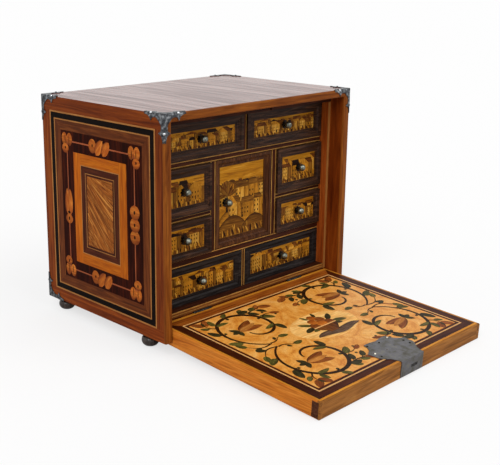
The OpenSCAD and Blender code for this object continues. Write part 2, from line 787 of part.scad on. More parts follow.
module corner_mount(r) difference() {
    intersection() {
        corner_block(iron_t, r);
        union() {
            translate([0, 0, -iron_t]) linear_extrude(iron_t + bead_r) mount_outline();
            translate([-iron_t, 0, 0]) along_x(iron_t + bead_r) mount_outline();
            translate([0, -iron_t, 0]) along_y(iron_t + bead_r) mount_outline();
        }
    }
    corner_block(0, r);
    corner_nails(false, r);
}

// Nails driven through the folded arrises, and one through the corner
module corner_nails(solid = true, r = 0) {
    a = arm_l - 14.5;
    nail_at([a, 0, 0], [0, 1, 1], solid, r);
    nail_at([0, a, 0], [1, 0, 1], solid, 0);
    nail_at([0, 0, a], [1, 1, 0], solid, r);
}

// Nail at point p of an arris, driven along the diagonal v
module nail_at(p, v, solid, r) {
    depth = (r + iron_t) * (rt2 - 1) - iron_t * rt2;
    translate(p + v / rt2 * depth) aim(v) {
        if (solid) {
            mirror([0, 0, 1]) dome();
            translate([0, 0, -0.2]) cylinder(r = nail_shank, h = 6);
        } else translate([0, 0, -2]) cylinder(r = nail_shank + fit, h = 8.3);
    }
}

// Turn +Z onto one of the three diagonals
module aim(v) {
    if (v[0] == 0) rotate([-45, 0, 0]) children();
    else if (v[1] == 0) rotate([0, 45, 0]) children();
    else rotate([0, 0, 45]) rotate([0, 90, 0]) children();
}

module corner_mounts() color(iron) carcass()
    for (m = [0:5]) at_corner(m) corner_mount(m < 2 ? bead_r : 0);

module mount_nails() color(iron) carcass()
    for (m = [0:5]) at_corner(m) corner_nails(true, m < 2 ? bead_r : 0);

top_board();
bottom_board();
left_side_board();
right_side_board();
back_board();
front_edge_beads();
left_lining();
right_lining();
top_lining();
bottom_lining();
upper_divider();
lower_divider();
left_partition();
right_partition();
left_shelf();
right_shelf();
top_row_divider();
bottom_row_divider();
bun_feet();
corner_mounts();
mount_nails();
carcass_hinge_leaves();
hinge_pins();
strike_plate();
top_left_drawer_box();
top_left_drawer_front();
top_left_drawer_knob();
top_right_drawer_box();
top_right_drawer_front();
top_right_drawer_knob();
upper_left_drawer_box();
upper_left_drawer_front();
upper_left_drawer_knob();
upper_right_drawer_box();
upper_right_drawer_front();
upper_right_drawer_knob();
lower_left_drawer_box();
lower_left_drawer_front();
lower_left_drawer_knob();
lower_right_drawer_box();
lower_right_drawer_front();
lower_right_drawer_knob();
bottom_left_drawer_box();
bottom_left_drawer_front();
bottom_left_drawer_knob();
bottom_right_drawer_box();
bottom_right_drawer_front();
bottom_right_drawer_knob();
door_board();
door_moulding();
door_knob();
door_pivot_pins();
fall_board();
fall_lipping();
lock_plate();
lock_case();
lock_nails();
fall_hinge_leaves();
lock_bolt();
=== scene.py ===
# %% [markdown]
# A table cabinet in walnut: behind its fall stand eight small drawers round a little door. Its
# boards and its ironwork are solid parts already. This lesson gives them their woods and
# metals, and lays the marquetry as what it is: thin slips of wood by the hundred.

# %% Open the cabinet
import math

import bpy
import numpy as np
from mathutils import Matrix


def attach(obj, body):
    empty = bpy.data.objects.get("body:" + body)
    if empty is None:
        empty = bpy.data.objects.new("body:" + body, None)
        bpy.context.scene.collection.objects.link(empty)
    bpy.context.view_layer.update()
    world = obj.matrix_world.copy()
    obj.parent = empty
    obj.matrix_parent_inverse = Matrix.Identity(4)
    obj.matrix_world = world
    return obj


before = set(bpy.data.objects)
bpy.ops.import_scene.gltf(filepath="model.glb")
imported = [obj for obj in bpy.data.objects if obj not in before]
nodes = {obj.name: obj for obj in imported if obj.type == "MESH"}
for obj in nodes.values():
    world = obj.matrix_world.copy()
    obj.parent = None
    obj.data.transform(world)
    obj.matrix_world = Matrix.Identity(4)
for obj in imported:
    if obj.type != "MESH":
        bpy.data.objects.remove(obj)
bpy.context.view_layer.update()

# %% [markdown]
# Colours are written as they look on a screen, and the shader wants the light behind them.
# Nodes could be added and linked one by one. These functions do it in one line each, so that
# a finish reads as a short list of what the surface is made of.

# %% Colour and node helpers
AXES = {"x": 0, "y": 1, "z": 2}


def linear(code):
    """A #RRGGBB colour as light: each channel over 255, then ((c + 0.055) / 1.055) to 2.4."""
    c = np.array([int(code[i:i + 2], 16) for i in (1, 3, 5)]) / 255
    return (*np.where(c <= 0.04045, c / 12.92, ((c + 0.055) / 1.055) ** 2.4), 1.0)


def put(tree, kind, numbered=None, **named):
    """Adds a shader node. named holds its options and its sockets, numbered the sockets that
    go by a number. A socket gets a value, an output or a node, whose first output it takes."""
    made = tree.nodes.new("ShaderNode" + kind)
    sockets = dict(numbered or {})
    for name, value in named.items():
        if hasattr(made, name):
            setattr(made, name, value)
        else:
            sockets[name.replace("_", " ")] = value
    for socket, value in sockets.items():
        if isinstance(value, bpy.types.Node):
            value = value.outputs[0]
        if isinstance(value, bpy.types.NodeSocket):
            tree.links.new(made.inputs[socket], value)
        else:
            made.inputs[socket].default_value = value
    return made


def stand(name, data):
    """Puts a new object into the scene."""
    made = bpy.data.objects.new(name, data)
    bpy.context.scene.collection.objects.link(made)
    return made


def fresh(name):
    """A new material and its empty node tree."""
    look = bpy.data.materials.new(name)
    look.use_nodes = True
    look.node_tree.nodes.clear()
    return look, look.node_tree


def ramp(tree, factor, shades, *places):
    """A colour ramp. The shades stand at their places, or evenly between the outer two."""
    made = put(tree, "ValToRGB", Fac=factor)
    shades, band = shades.split(), made.color_ramp
    if len(places) != len(shades):
        places = np.linspace(*(places or (0.3, 0.72)), len(shades))
    while len(band.elements) < len(shades):
        band.elements.new(0.5)
    for element, place, code in zip(band.elements, places, shades):
        element.position = place
        element.color = linear(code)
    return made


def calc(tree, operation, *values):
    """The result of one sum or comparison of values and outputs."""
    return put(tree, "Math", dict(enumerate(values)), operation=operation)


def mix(tree, share, first, second, blend="MIX"):
    """Two colours mixed by a share, or the second one multiplied in by it."""
    return put(tree, "Mix", {0: share, 6: first, 7: second}, data_type="RGBA",
               blend_type=blend).outputs[2]


def past(tree, axis, place):
    """1 where the object's own coordinate lies past a place in metres, 0 before it."""
    parts = put(tree, "SeparateXYZ", {0: put(tree, "TexCoord").outputs["Object"]})
    return calc(tree, "GREATER_THAN", parts.outputs[AXES[axis]], place)


print("middle grey as light:", round(linear("#808080")[0], 3))


# %% [markdown]
# Wood shows a broad figure of darker and lighter growth, fine fibres and pores along the
# grain, and the finish on top. A photograph could show them, but it repeats. Noise drawn out
# along the grain doesn't, and it turns with the board's own coordinates, or with the grain of
# a slip of marquetry, which is kept in an attribute. One more attribute is for sand shading,
# where the cutter scorches one edge of a slip in hot sand to make it look round.

# %% Wood
def wood(name, shades, along="x", figure=(160, 14), depth=0.35, rough=0.4, coat=0.0,
         sheen=0.05, scorch=None, burnt=0.4, beyond=None, crossed=None):
    """Wood of some shades, with its grain along an axis or a slip, scraped and oiled.
    figure is its length along the grain and its width across it, in mm. Real fibres are
    0.1 mm wide; they are drawn 1.4 mm wide so that they show, and depth is how dark they are.
    sheen is the gloss of wax on open grain, and coat the polish over it. scorch colours the
    sand-shaded edge, which fades out over the share burnt of a slip's width. beyond = (axis,
    place in metres, shades) gives the part past that place another colour. crossed =
    (distance, axis) turns the grain along that axis where x is further out, as on the
    uprights of a frame."""
    look, tree = fresh(name)
    loose = along == "slip"
    if loose:
        where = put(tree, "Attribute", attribute_name="grain").outputs["Vector"]
    else:
        where = put(tree, "TexCoord").outputs["Object"]
    axis = 0 if loose else AXES[along]
    if crossed:
        parts = put(tree, "SeparateXYZ", {0: where}).outputs
        far = calc(tree, "GREATER_THAN", calc(tree, "ABSOLUTE", parts[0]), crossed[0])
        order = {"y": (1, 0, 2), "z": (2, 1, 0)}[crossed[1]]
        turned = put(tree, "CombineXYZ", {i: parts[k] for i, k in enumerate(order)})
        where = put(tree, "Mix", {0: far, 4: where, 5: turned}, data_type="VECTOR").outputs[1]

    def streaks(length, width, detail, distortion):
        """Noise drawn out along the grain."""
        scale = [1000 / width] * 3
        scale[axis] = 1000 / length
        place = put(tree, "Mapping", Vector=where, Scale=scale)
        return put(tree, "TexNoise", Vector=place, Scale=1.0, Detail=detail, Roughness=0.55,
                   Distortion=distortion)

    broad = streaks(*figure, 4.0, 1.2)
    fine = streaks(30, 1.4, 2.0, 0.2)
    colour = ramp(tree, broad, shades)
    if beyond:
        far = past(tree, *beyond[:2])
        colour = mix(tree, far, colour, ramp(tree, broad, beyond[2]))
    pores = ramp(tree, fine, "#6E6E6E #FFFFFF", 0.3, 0.55)
    colour = mix(tree, depth, colour, pores, "MULTIPLY")
    if loose:
        tone = put(tree, "Attribute", attribute_name="tone").outputs["Fac"]
        lift = put(tree, "MapRange", Value=tone, To_Min=0.82, To_Max=1.15)
        colour = put(tree, "HueSaturation", Color=colour, Value=lift)
    if scorch:
        edge = put(tree, "Attribute", attribute_name="shade").outputs["Fac"]
        burn = ramp(tree, edge, "#EEEEEE #7C7C7C #000000", 0, burnt)
        colour = mix(tree, burn, colour, linear(scorch))
    dull = put(tree, "MapRange", Value=fine, To_Min=rough + 0.08, To_Max=rough - 0.06)
    bump = put(tree, "Bump", Height=fine, Strength=0.25, Distance=0.00015)
    if coat and beyond:
        # Only the face past the place is polished, and less so in its dark grain.
        worn = put(tree, "MapRange", Value=broad, From_Min=0.4, From_Max=0.6,
                   To_Min=coat * 0.6, To_Max=coat)
        coat = calc(tree, "MULTIPLY", far, worn)
    skin = put(tree, "BsdfPrincipled", Base_Color=colour, Roughness=dull, Normal=bump,
               Specular_IOR_Level=sheen, Coat_Weight=coat, Coat_Roughness=0.16, IOR=1.5)
    put(tree, "OutputMaterial", Surface=skin)
    return look


WALNUT = "#521E06 #78340C #944A16"
side_walnut = wood("walnut_side_oiled", WALNUT, "z", (220, 16))
print(side_walnut.name, "has", len(side_walnut.node_tree.nodes), "nodes")

# %% [markdown]
# The iron is forged sheet, tinned against rust and rubbed bright where hands touch it. A
# metal's colour sits in its reflection. Its hammer marks could be modelled, but they only
# break up the highlight, which a bump does too. Grey oxide is left in the hollows.

# %% Iron
def iron(name, shades, rough, mark, dents=0.00005, beyond=None):
    """Forged or turned iron. mark is the size of its hammer or tin marks in mm and dents
    their depth in metres. beyond = (axis, place in metres, shade) gives the part past that
    place one other shade."""
    look, tree = fresh(name)
    where = put(tree, "TexCoord").outputs["Object"]
    worn = put(tree, "TexNoise", Vector=where, Scale=1000 / mark, Detail=4.0, Roughness=0.6)
    colour = ramp(tree, worn, shades, 0.35, 0.68)
    if beyond:
        colour = mix(tree, past(tree, *beyond[:2]), colour, linear(beyond[2]))
    dull = put(tree, "MapRange", Value=worn, From_Min=0.3, From_Max=0.7,
               To_Min=rough + 0.15, To_Max=rough - 0.08)
    bump = put(tree, "Bump", Height=worn, Strength=0.4, Distance=dents)
    skin = put(tree, "BsdfPrincipled", Base_Color=colour, Roughness=dull, Normal=bump,
               Metallic=1.0)
    put(tree, "OutputMaterial", Surface=skin)
    return look


tinned = iron("tinned_iron_hammered", "#2A2B2D #525457 #9C9FA2", 0.34, 5.0, 0.00025)
print(tinned.name, "has", len(tinned.node_tree.nodes), "nodes")

# %% [markdown]
# Every solid part now gets its finish. The outside is walnut, oiled and waxed, redder on the
# sides and polished on its top. The ends of the dividers are stained dark. Where one solid
# shows two woods, its material changes at a plane, and the solid stays whole. On the fall's
# lipping the change at a plane is painted light: paler on the sides than at the front.

# %% Finishes of the solid parts
FRONT = -0.0106302  # the carcass front plane, in metres
BASE = 0.025  # its underside, on the feet
TOP_FACE = BASE + 0.3655  # a hair below the face of the top board
OPENING = 0.2095  # half the width between the upright beads
LIP_SIDE, LIP_FRONT = 0.2025, -0.3026  # inner edges of the fall's lipping
STAINED = "#24100A #3A1A0E #4C2614"
OAK = "#7E5428 #9A6C38 #B08448"


def dress(look, names):
    """Gives a finish to solid parts by name."""
    for name in names.split():
        nodes[name].data.materials.clear()
        nodes[name].data.materials.append(look)


dress(side_walnut, "left_side_board right_side_board")
dress(wood("walnut_top_polished", WALNUT, "y", (260, 14), rough=0.34, coat=0.85,
           beyond=("z", TOP_FACE, "#4A1A08 #6E2C12 #8A421E")), "top_board bottom_board")
dress(wood("walnut_back_plain", "#3C1E10 #553019 #684024", "x", (240, 22), rough=0.5, coat=0.05),
      "back_board")
dress(wood("walnut_front_edge", "#5A2A0C #804416 #9A5A1E", "x", (140, 9),
           crossed=(OPENING, "z")), "front_edge_beads")
# Partly painted light: the linings are paler than the outside walnut, which lifts them out of the
# shade inside the case.
dress(wood("walnut_lining", "#6E2C0E #984616 #B05C24", "z", (160, 10)),
      "left_lining right_lining")
dress(wood("walnut_divider_stained", STAINED, "x", (90, 6)), "top_lining bottom_lining "
      "upper_divider lower_divider left_shelf right_shelf")
dress(wood("walnut_post_stained", STAINED, "z", (90, 6)), "left_partition right_partition "
      "top_row_divider bottom_row_divider")
dress(wood("fall_board_walnut", "#7A3A12 #98521C #B0682A", "x", (120, 12)), "fall_board")
# Painted light: past LIP_FRONT the lipping's sides and back get paler orange shades than its
# front, standing in for the lamp on the edges.
dress(wood("walnut_fall_lipping", "#643C16 #925C28 #AC7438", "x", (110, 7),
           crossed=(LIP_SIDE, "y"), beyond=("y", LIP_FRONT, "#A4561A #C87426 #D98A38")),
      "fall_lipping")
dress(tinned, "corner_mounts")
dress(iron("iron_nail_head_bright", "#A8ABAE #DADDE0", 0.22, 2.0), "mount_nails")
dress(iron("iron_lock_plate_waxed", "#5A5751 #66645F #6B6A6F #73706A", 0.46, 12.0),
      "lock_plate")
# Painted highlight: the pale shade makes a few nail heads bright, as glints, and leaves the others
# dark.
dress(iron("iron_lock_nail_painted_glint", "#0E0E0E #26241E #E0DCCC", 0.3, 22.0), "lock_nails")
dress(iron("iron_hinge_blackened", "#161514 #2A2827 #46423E", 0.42, 4.0, 0.0006),
      "carcass_hinge_leaves fall_hinge_leaves hinge_pins strike_plate lock_case lock_bolt "
      "door_pivot_pins")
print("finishes so far:", len(bpy.data.materials))

# %% [markdown]
# A drawer is an oak box, a front and a knob, which is polished steel on a darker rose. The
# mouldings round the front are stained black to pass for ebony, and the board behind them
# shows its oak once the drawer is pulled. The rows stand at different depths, so each has
# its own place for that change. The bottom row's mouldings are blacker as painted shade, and
# the door's moulding is lighter and redder as painted light.

# %% Finishes of the drawers, the door and the feet
EBONY = "#1E120D #332118 #5A3A26"
# Painted shade: the bottom row's mouldings get these blacker shades, standing in for shade.
SHADED_EBONY = "#120E0D #221D1C #3A3330"
HANDS = ("left", "right")
# Planes of the pictures, in mm behind the carcass front.
ROWS = {"top": 49.0, "upper": 47.0, "lower": 47.0, "bottom": 51.0}
DOOR = 54.0
VENEER, ROSE = 1.3, 1.25  # thickness of the veneer, and of a knob's rose


def behind(distance):
    """A distance in mm behind the carcass front, as a place in metres."""
    return FRONT + distance / 1000


def knob_steel(name, panel):
    """Polished steel, with a darker rose against the panel."""
    return iron(name, "#4E5048 #8E9084", 0.36, 3.0,
                beyond=("y", behind(panel - ROSE), "#2E2420"))


oak_box = wood("oak_drawer_box", OAK, "y", (140, 12), rough=0.55, depth=0.4)
for row, panel in ROWS.items():
    ebony = wood(f"ebonised_moulding_{row}", SHADED_EBONY if row == "bottom" else EBONY, "x", (60, 5),
                 rough=0.34, sheen=0.08, beyond=("y", behind(panel + VENEER), OAK))
    knob = knob_steel(f"steel_knob_{row}", panel)
    for hand in HANDS:
        dress(ebony, f"{row}_{hand}_drawer_front")
        dress(oak_box, f"{row}_{hand}_drawer_box")
        dress(knob, f"{row}_{hand}_drawer_knob")
# Painted light: the door's moulding has lighter, redder shades than the drawers' ebony, standing
# in for the lamp catching it.
dress(wood("door_moulding_painted_light", "#2E180B #4C2A14 #6C4424", "z", (60, 5), rough=0.34,
           sheen=0.08), "door_moulding")
dress(wood("oak_door_board", OAK, "z"), "door_board")
dress(knob_steel("steel_door_knob", DOOR), "door_knob")
dress(wood("black_lacquered_foot", "#261E1A #362C27 #483C34", "z", (30, 9), rough=0.22,
           coat=0.6, depth=0.15), "bun_feet")
print("finishes on the solid parts:", len({o.data.materials[0].name for o in nodes.values()}))

# %% [markdown]
# Marquetry is a skin of small pieces, each sawn from its own wood, so that neighbours differ
# in colour and in the run of the grain. It could be a drawing in a texture, but then all would
# share one grain and one gloss. Here each slip is a closed body let into the board. It stands
# 0.05 to 0.4 mm proud, which is less than the eye sees and enough to keep its edge. First
# come the faces that it is laid on.

# %% Where the slips are laid
TILT = math.radians(2.986)  # slope of the open fall, which rests on the table
HINGE = np.array([0, FRONT + 0.0307, BASE + 0.021])
FALL_THICK = 0.0285
CASE_HALF, FALL_HALF = 0.225, 0.20925  # half widths
X, Y, Z = np.eye(3)
FALL_RUN = np.array([0, -math.cos(TILT), -math.sin(TILT)])  # from the hinge to the front
FALL_UP = np.array([0, -math.sin(TILT), math.cos(TILT)])  # off the inner face

# A place is its origin, its two directions in the face, and the way the face looks.
PLACES = {
    "left": ((-CASE_HALF, FRONT, BASE), Y, Z, -X),
    "right": ((CASE_HALF, FRONT, BASE), Y, Z, X),
    "fall_in": (HINGE, X, FALL_RUN, FALL_UP),
    "fall_out": (HINGE - FALL_THICK * FALL_UP, X, FALL_RUN, -FALL_UP),
    "fall_left": (HINGE - FALL_HALF * X, FALL_RUN, FALL_UP, -X),
    "fall_right": (HINGE + FALL_HALF * X, FALL_RUN, FALL_UP, X),
    "dividers": ((0, behind(48), BASE), X, Z, -Y),
    "linings": ((0, behind(31), BASE), X, Z, -Y),
}
print("faces for marquetry:", ", ".join(PLACES))

# %% [markdown]
# A slip is a strip between a left and a right edge. That is enough for all that a fret saw
# cuts, and it gives the grain a direction. One function makes one object of many strips. Each
# slip keeps its own run of the grain, a tone a little lighter or darker than its neighbour's,
# and how far its points are from the edge that lay in the sand. Slips that cross differ by a
# hair in height, so that one is on top.

# %% Laying slips
LET_IN = 0.05  # how far a slip reaches below the face, mm
HAIR, HAIRS = 0.0012, 37  # step in height to the next slip in mm, and how many
PROUD = np.array([False, True, True, True, False])  # the points of a section that stand up


def lay(name, strips, place, rise, look, body, seed=1):
    """One object of many slips. A strip is a grid of stations by its left and right edge, in
    mm on the face. A station's section runs edge low, edge high, middle high, edge high and
    edge low, so that a slip is a closed thin body. Strips of equal length go in as one array.
    rise is one height for all, to which each slip adds its own hair, or a height for each."""
    o, u, v, n = (np.array(side, float) for side in PLACES[place])
    handed = np.sign(np.dot(np.cross(u, v), n))
    rng = np.random.default_rng(seed)
    heights = np.array(rise)
    if not heights.ndim:
        heights = rise + HAIR * (np.arange(len(strips)) % HAIRS)
    sizes = np.array([len(s) for s in strips])
    points, quads, ends, kept = [], [], [], []
    first = 0
    for count in np.unique(sizes):
        group = np.array([s for s in strips if len(s) == count], float)
        a, b = group[:, :, 0], group[:, :, 1]
        run, side = np.gradient((a + b) / 2, axis=1), a - b
        turn = (run[..., 0] * side[..., 1] - run[..., 1] * side[..., 0]).sum(1) * handed
        a, b = (np.where(turn[:, None, None] > 0, x, y) for x, y in ((a, b), (b, a)))
        flat = np.stack([a, a, (a + b) / 2, b, b], 2)
        high = np.where(PROUD, heights[sizes == count][:, None, None], -LET_IN)[..., None]
        points.append((o + (flat[..., :1] * u + flat[..., 1:] * v + high * n) / 1000)
                      .reshape(-1, 3))
        shape = flat.shape[:3]
        number = first + np.arange(np.prod(shape)).reshape(shape)
        first += number.size
        ahead = np.roll(number, -1, axis=2)
        quads.append(np.stack([number[:, :-1], ahead[:, :-1], ahead[:, 1:], number[:, 1:]], -1)
                     .reshape(-1, 4))
        ends += [number[:, 0, ::-1], number[:, -1]]
        way = (flat[:, -1] - flat[:, 0]).mean(1)[:, None, None]
        way = way / (np.linalg.norm(way, axis=-1, keepdims=True) + 1e-9)
        off = flat - flat.mean((1, 2), keepdims=True)
        shift = rng.uniform(0, 900, (len(group), 1, 1, 3))  # mm, so that none match
        grain = np.stack([(off * way).sum(-1),
                          off[..., 1] * way[..., 0] - off[..., 0] * way[..., 1],
                          0 * off[..., 0]], -1) + shift
        shade = np.broadcast_to([0, 0, 0.5, 1, 1], shape)
        tone = np.broadcast_to(rng.random((len(group), 1, 1)), shape)
        kept.append((grain.reshape(-1, 3) / 1000, shade.ravel(), tone.ravel()))
    mesh = bpy.data.meshes.new(name)
    mesh.from_pydata(np.concatenate(points).tolist(), [],
                     np.concatenate(quads).tolist() + np.concatenate(ends).tolist())
    grain, shade, tone = (np.concatenate(x) for x in zip(*kept))
    mesh.attributes.new("grain", "FLOAT_VECTOR", "POINT").data.foreach_set("vector", grain.ravel())
    mesh.attributes.new("shade", "FLOAT", "POINT").data.foreach_set("value", shade)
    mesh.attributes.new("tone", "FLOAT", "POINT").data.foreach_set("value", tone)
    mesh.materials.append(look)
    piece = stand(name, mesh)
    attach(piece, body)


print("slips that cross stand up to", round(HAIR * (HAIRS - 1), 3), "mm apart in height")


# %% [markdown]
# A ribbon follows a path with a width that swells and tapers, and makes stems and trunks. A
# leaf is a short ribbon, pointed at both ends. Ovals, discs, boxes and mitred bands make the
# rest. They could be drawn point by point, but a formula gives an even line of any size. Each
# function gives one strip, or a list.

# %% Shapes that a fret saw cuts
CORNERS = np.array([[0, 1], [2, 1], [2, 3], [0, 3]])  # of a rectangle (u0, v0, u1, v1)


def ribbon(path, half):
    """Left and right edges: the path plus and minus a half width along its normal."""
    path = np.asarray(path, float)
    way = np.gradient(path, axis=0)
    way /= np.linalg.norm(way, axis=1, keepdims=True) + 1e-9
    normal = np.stack([-way[:, 1], way[:, 0]], 1)
    half = np.broadcast_to(half, len(path))[:, None]
    return np.stack([path + normal * half, path - normal * half], 1)


def toward(angle, length):
    """A step of some length at an angle."""
    return length * np.array([math.cos(angle), math.sin(angle)])


def leaf(at, angle, length, width, bend=0.25, blunt=0.8):
    """A centre line bent as a parabola; the half width is half the width times a sine of the
    way along it to the power blunt, fuller near the stalk."""
    s = np.linspace(0, 1, 9)
    x, y = s * length, bend * length * s * s
    c, d = math.cos(angle), math.sin(angle)
    path = np.stack([at[0] + x * c - y * d, at[1] + x * d + y * c], 1)
    half = width / 2 * np.sin(np.pi * s ** 0.85) ** blunt
    return ribbon(path, np.maximum(half, 0.06))


def between(u, left, right):
    """A strip between two curves over u."""
    return np.stack([np.stack([u, left], 1), np.stack([u, right], 1)], 1)


def oval(at, ru, rv, count=13):
    """An oval: half widths rv sin a over stations at ru cos a."""
    a = np.linspace(0, np.pi, count)
    half = np.maximum(rv * np.sin(a), 0.05)
    return between(at[0] - ru * np.cos(a), at[1] + half, at[1] - half)


def disc(at, radius):
    """A round slip."""
    return oval(at, radius, radius)


def box(u0, v0, u1, v1, upright=False):
    """A rectangle with its grain along u, or along v if upright."""
    if upright:
        return np.array([[[u0, v0], [u1, v0]], [[u0, v1], [u1, v1]]], float)
    return np.array([[[u0, v1], [u0, v0]], [[u1, v1], [u1, v0]]], float)


def inset(rect, by):
    """The rectangle whose sides lie a distance further in."""
    return (rect[0] + by, rect[1] + by, rect[2] - by, rect[3] - by)


def mitred(outer, inner):
    """Four strips between two rectangles, at v0, u1, v1 and u0, each with its grain along it."""
    far, near = (np.array(rect, float)[CORNERS] for rect in (outer, inner))
    return [np.array([[near[i], far[i]], [near[j], far[j]]]) for i, j in
            ((0, 1), (1, 2), (2, 3), (3, 0))]


def band(rect, width):
    """Four mitred strips just inside a rectangle."""
    return mitred(rect, inset(rect, width))


def nested(rect, widths):
    """Bands one inside the other, and the rectangle that is left."""
    bands = []
    for width in widths:
        bands.append(band(rect, width))
        rect = inset(rect, width)
    return bands, rect


print("stations of a leaf:", len(leaf((0, 0), 0, 20, 10)), "and of a disc:", len(disc((0, 0), 5)))


# %% [markdown]
# The woods of the marquetry. Light lines are box or maple, black lines are ebonised pear,
# leaves are maple boiled in a green copper bath, and petals are plum scorched in hot sand.
# All come from the function for boards, with a finer figure, as on a small cut of a board.

# %% Woods of the slips
def slip(name, shades, length=160, width=14, **more):
    """A wood whose figure, length by width in mm, follows the grain of each slip."""
    return wood(name, shades, "slip", (length, width), **more)


string_wood = slip("maple_stringing", "#DCA05C #EEBC7C", 40, 5, depth=0.15)
string_tan = slip("boxwood_stringing_tan", "#96602E #B47A40", 40, 5, depth=0.2)
string_gold = slip("boxwood_stringing_gold", "#8E6028 #C0904A", 25, 4)
strap_line = slip("pear_strap_line", "#8E4426 #A85A34", 40, 5)
black_wood = slip("ebonised_pear_slip", "#0E0907 #1A100C", sheen=0.02)
border_wood = slip("walnut_border_dark", "#2E0E04 #441A08 #58280E", 90, 7)
walnut_slip = slip("walnut_mitred_band", "#46200A #622E0F #7C421A", 90, 7)
ground_dark = slip("bog_oak_ground", "#180602 #280A04 #421606", 150, 14, sheen=0.02)
orange_wood = slip("cherry_frame_orange", "#9A4806 #B25A0A #C46C10", 70, 7)
outer_wood = slip("walnut_outer_border", WALNUT, 180, 9)
strap_wood = slip("pear_strapwork_shaded", "#964410 #B45E1C #D07E2E", 30, 6,
                  scorch="#5A220A", burnt=0.62)
heart_brown = slip("olive_heart_brown", "#7A3E12 #94541C #A86626", 60, 4)
wavy_wood = slip("olive_wavy_figure", "#4E2008 #985218 #D29042", 60, 3, depth=0.4,
                 scorch="#5A2A0E")
leaf_wood = slip("green_stained_maple", "#343010 #585222 #7E6E34", 14, 3, scorch="#1A1206")
leaf_dark = slip("green_stained_dark", "#1E1A0E #353018 #4A4020", 14, 3, scorch="#120C06")
stem_wood = slip("walnut_stem_dark", "#1A0E08 #2C180A #3E2410", 20, 3)
petal_wood = slip("plum_petal_shaded", "#6A3012 #8C481A #AC662C", 22, 4, scorch="#3E160A")
petal_pale = slip("pear_petal_pale", "#A86428 #C07A34 #D4944A", 22, 4, scorch="#6A3210")
print("woods and metals:", len(bpy.data.materials))

# %% [markdown]
# The side panels. A walnut border with a light line and a black band frames a dark ground,
# with an orange frame on it. Between the two runs strapwork, an ornament of straps, discs and
# husks. It is laid piece by piece, since each has its own shaded edge. One function lays such
# a panel on any face, so that both sides and the outside of the fall match. Each ornament
# gives its pale slips and the dark ones on them.

# %% Strapwork
RAIL, STRAP = 19, 1.2  # width of the orange rails, half width of the straps
PITCH, ROUND = 20.5, 11.8  # of the discs in a column: their distance and radius


def corner_strap(at, su, sv):
    """Two upright lobes side by side and a round one below them turn a strap round a corner.
    su and sv point inwards."""
    u, v = at
    return tuple([oval((u + x * su, v + y * sv), ru, rv) for x, y, ru, rv in ovals] for ovals in (
        ((-7, -3, 7.4, 11), (7, -3, 7.4, 11), (-5, 13, 9, 8.4)),
        ((-5, -2, 0.8, 7), (6, -1, 0.8, 7.5), (-5, 12, 1.5, 2.6))))


def husks(at):
    """A disc and two slanted husks, as a twisted strap shows, side by side along u."""
    way = 2.0
    pale = [oval((at[0] + 18, at[1]), 10, 12)]
    for u, size in ((2.5, 31), (-15, 29)):
        pale.append(leaf((at[0] + u, at[1]) - toward(way, size / 2), way, size, 18, 0.18, 0.5))
    return pale, [oval((at[0] + 18, at[1] + 1), 1.5, 2.8)]


def spear(at):
    """A long bud of two husks side by side, and a lozenge with an eye below it."""
    u, v = at[0], at[1] - 30
    pale = [leaf((u - 4.6, v + 14), 1.60, 46, 12.5, -0.05, 0.55),
            leaf((u + 4.6, v + 14), 1.54, 46, 12.5, 0.05, 0.55),
            leaf((u, v - 3), math.pi / 2, 21, 20, 0, 0.9)]
    return pale, [oval((u, v + 7), 1.8, 3.4), oval((u, v + 18), 3.8, 2.4)]


def side_panel(place, name, body, rect, orange, spears=True):
    """rect is the outermost line and orange the outside of the orange frame, in mm. spears
    puts a spear in place of the far column of discs. Gives the rectangle inside the frame."""
    (edge, black, line, walnut), ground = nested(rect, (2.6, 9.4, 2.2, 16.5))
    u0, v0, u1, v1 = orange
    inner = inset(orange, RAIL)
    rails = [box(u0, v0, u0 + RAIL, v1, True), box(u1 - RAIL, v0, u1, v1, True),
             box(u0 + RAIL, v0, u1 - RAIL, v0 + RAIL), box(u0 + RAIL, v1 - RAIL, u1 - RAIL, v1)]
    (light, broad, thin, narrow), core = nested(inner, (1.4, 11, 1.2, 3.4))
    # The straps run midway between border and frame, from (cu, cv) to (du, dv).
    cu, cv = (ground[0] + u0) / 2, (ground[1] + v0) / 2
    du, dv = (ground[2] + u1) / 2, (ground[3] + v1) / 2
    mu, mv = (cu + du) / 2, (cv + dv) / 2
    straps = [box(cu, w - STRAP, du, w + STRAP) for w in (cv, dv)]
    straps += [box(w - STRAP, cv, w + STRAP, dv, True) for w in (cu, du)]
    ornaments = [corner_strap((u, v), su, sv) for su, u in ((1, cu), (-1, du))
                 for sv, v in ((1, cv), (-1, dv))]
    ornaments += [husks((mu, v)) for v in (cv, dv)]
    if spears:
        ornaments.append(spear((du, mv)))
    pale, dark = (sum(kind, []) for kind in zip(*ornaments))
    rounds = [(u, mv + PITCH * k) for u in ((cu,) if spears else (cu, du)) for k in (-1, 0, 1)]
    pale += [disc(at, ROUND) for at in rounds]
    dark += [oval((u + 0.8, v), 2.0, 3.0) for u, v in rounds]
    for part, strips, rise, look in (
            ("outer_line", edge, 0.16, string_tan), ("black_band", black, 0.14, black_wood),
            ("inner_line", line, 0.17, string_tan), ("straps", straps, 0.15, strap_line),
            ("mitred_band", walnut, 0.14, walnut_slip),
            ("dark_ground", [box(*ground, True)], 0.10, ground_dark),
            ("orange_frame", rails, 0.15, orange_wood),
            ("frame_lines", light + thin, 0.18, string_tan),
            ("frame_fillet", broad + narrow, 0.14, border_wood),
            ("strapwork", pale, 0.2, strap_wood), ("strap_eyes", dark, 0.24, black_wood)):
        lay(f"{name}_{part}", strips, place, rise, look, body)
    return core


print("a corner has", [len(kind) for kind in corner_strap((0, 0), 1, 1)], "pale and dark slips")


# %% [markdown]
# The middle of each side is sawn across a wavy branch of olive: pale and dark waves rise from
# the lower edge. A wave texture would give stripes of one width. Slips over a brown ground
# swell, ripple and leave it bare between them.

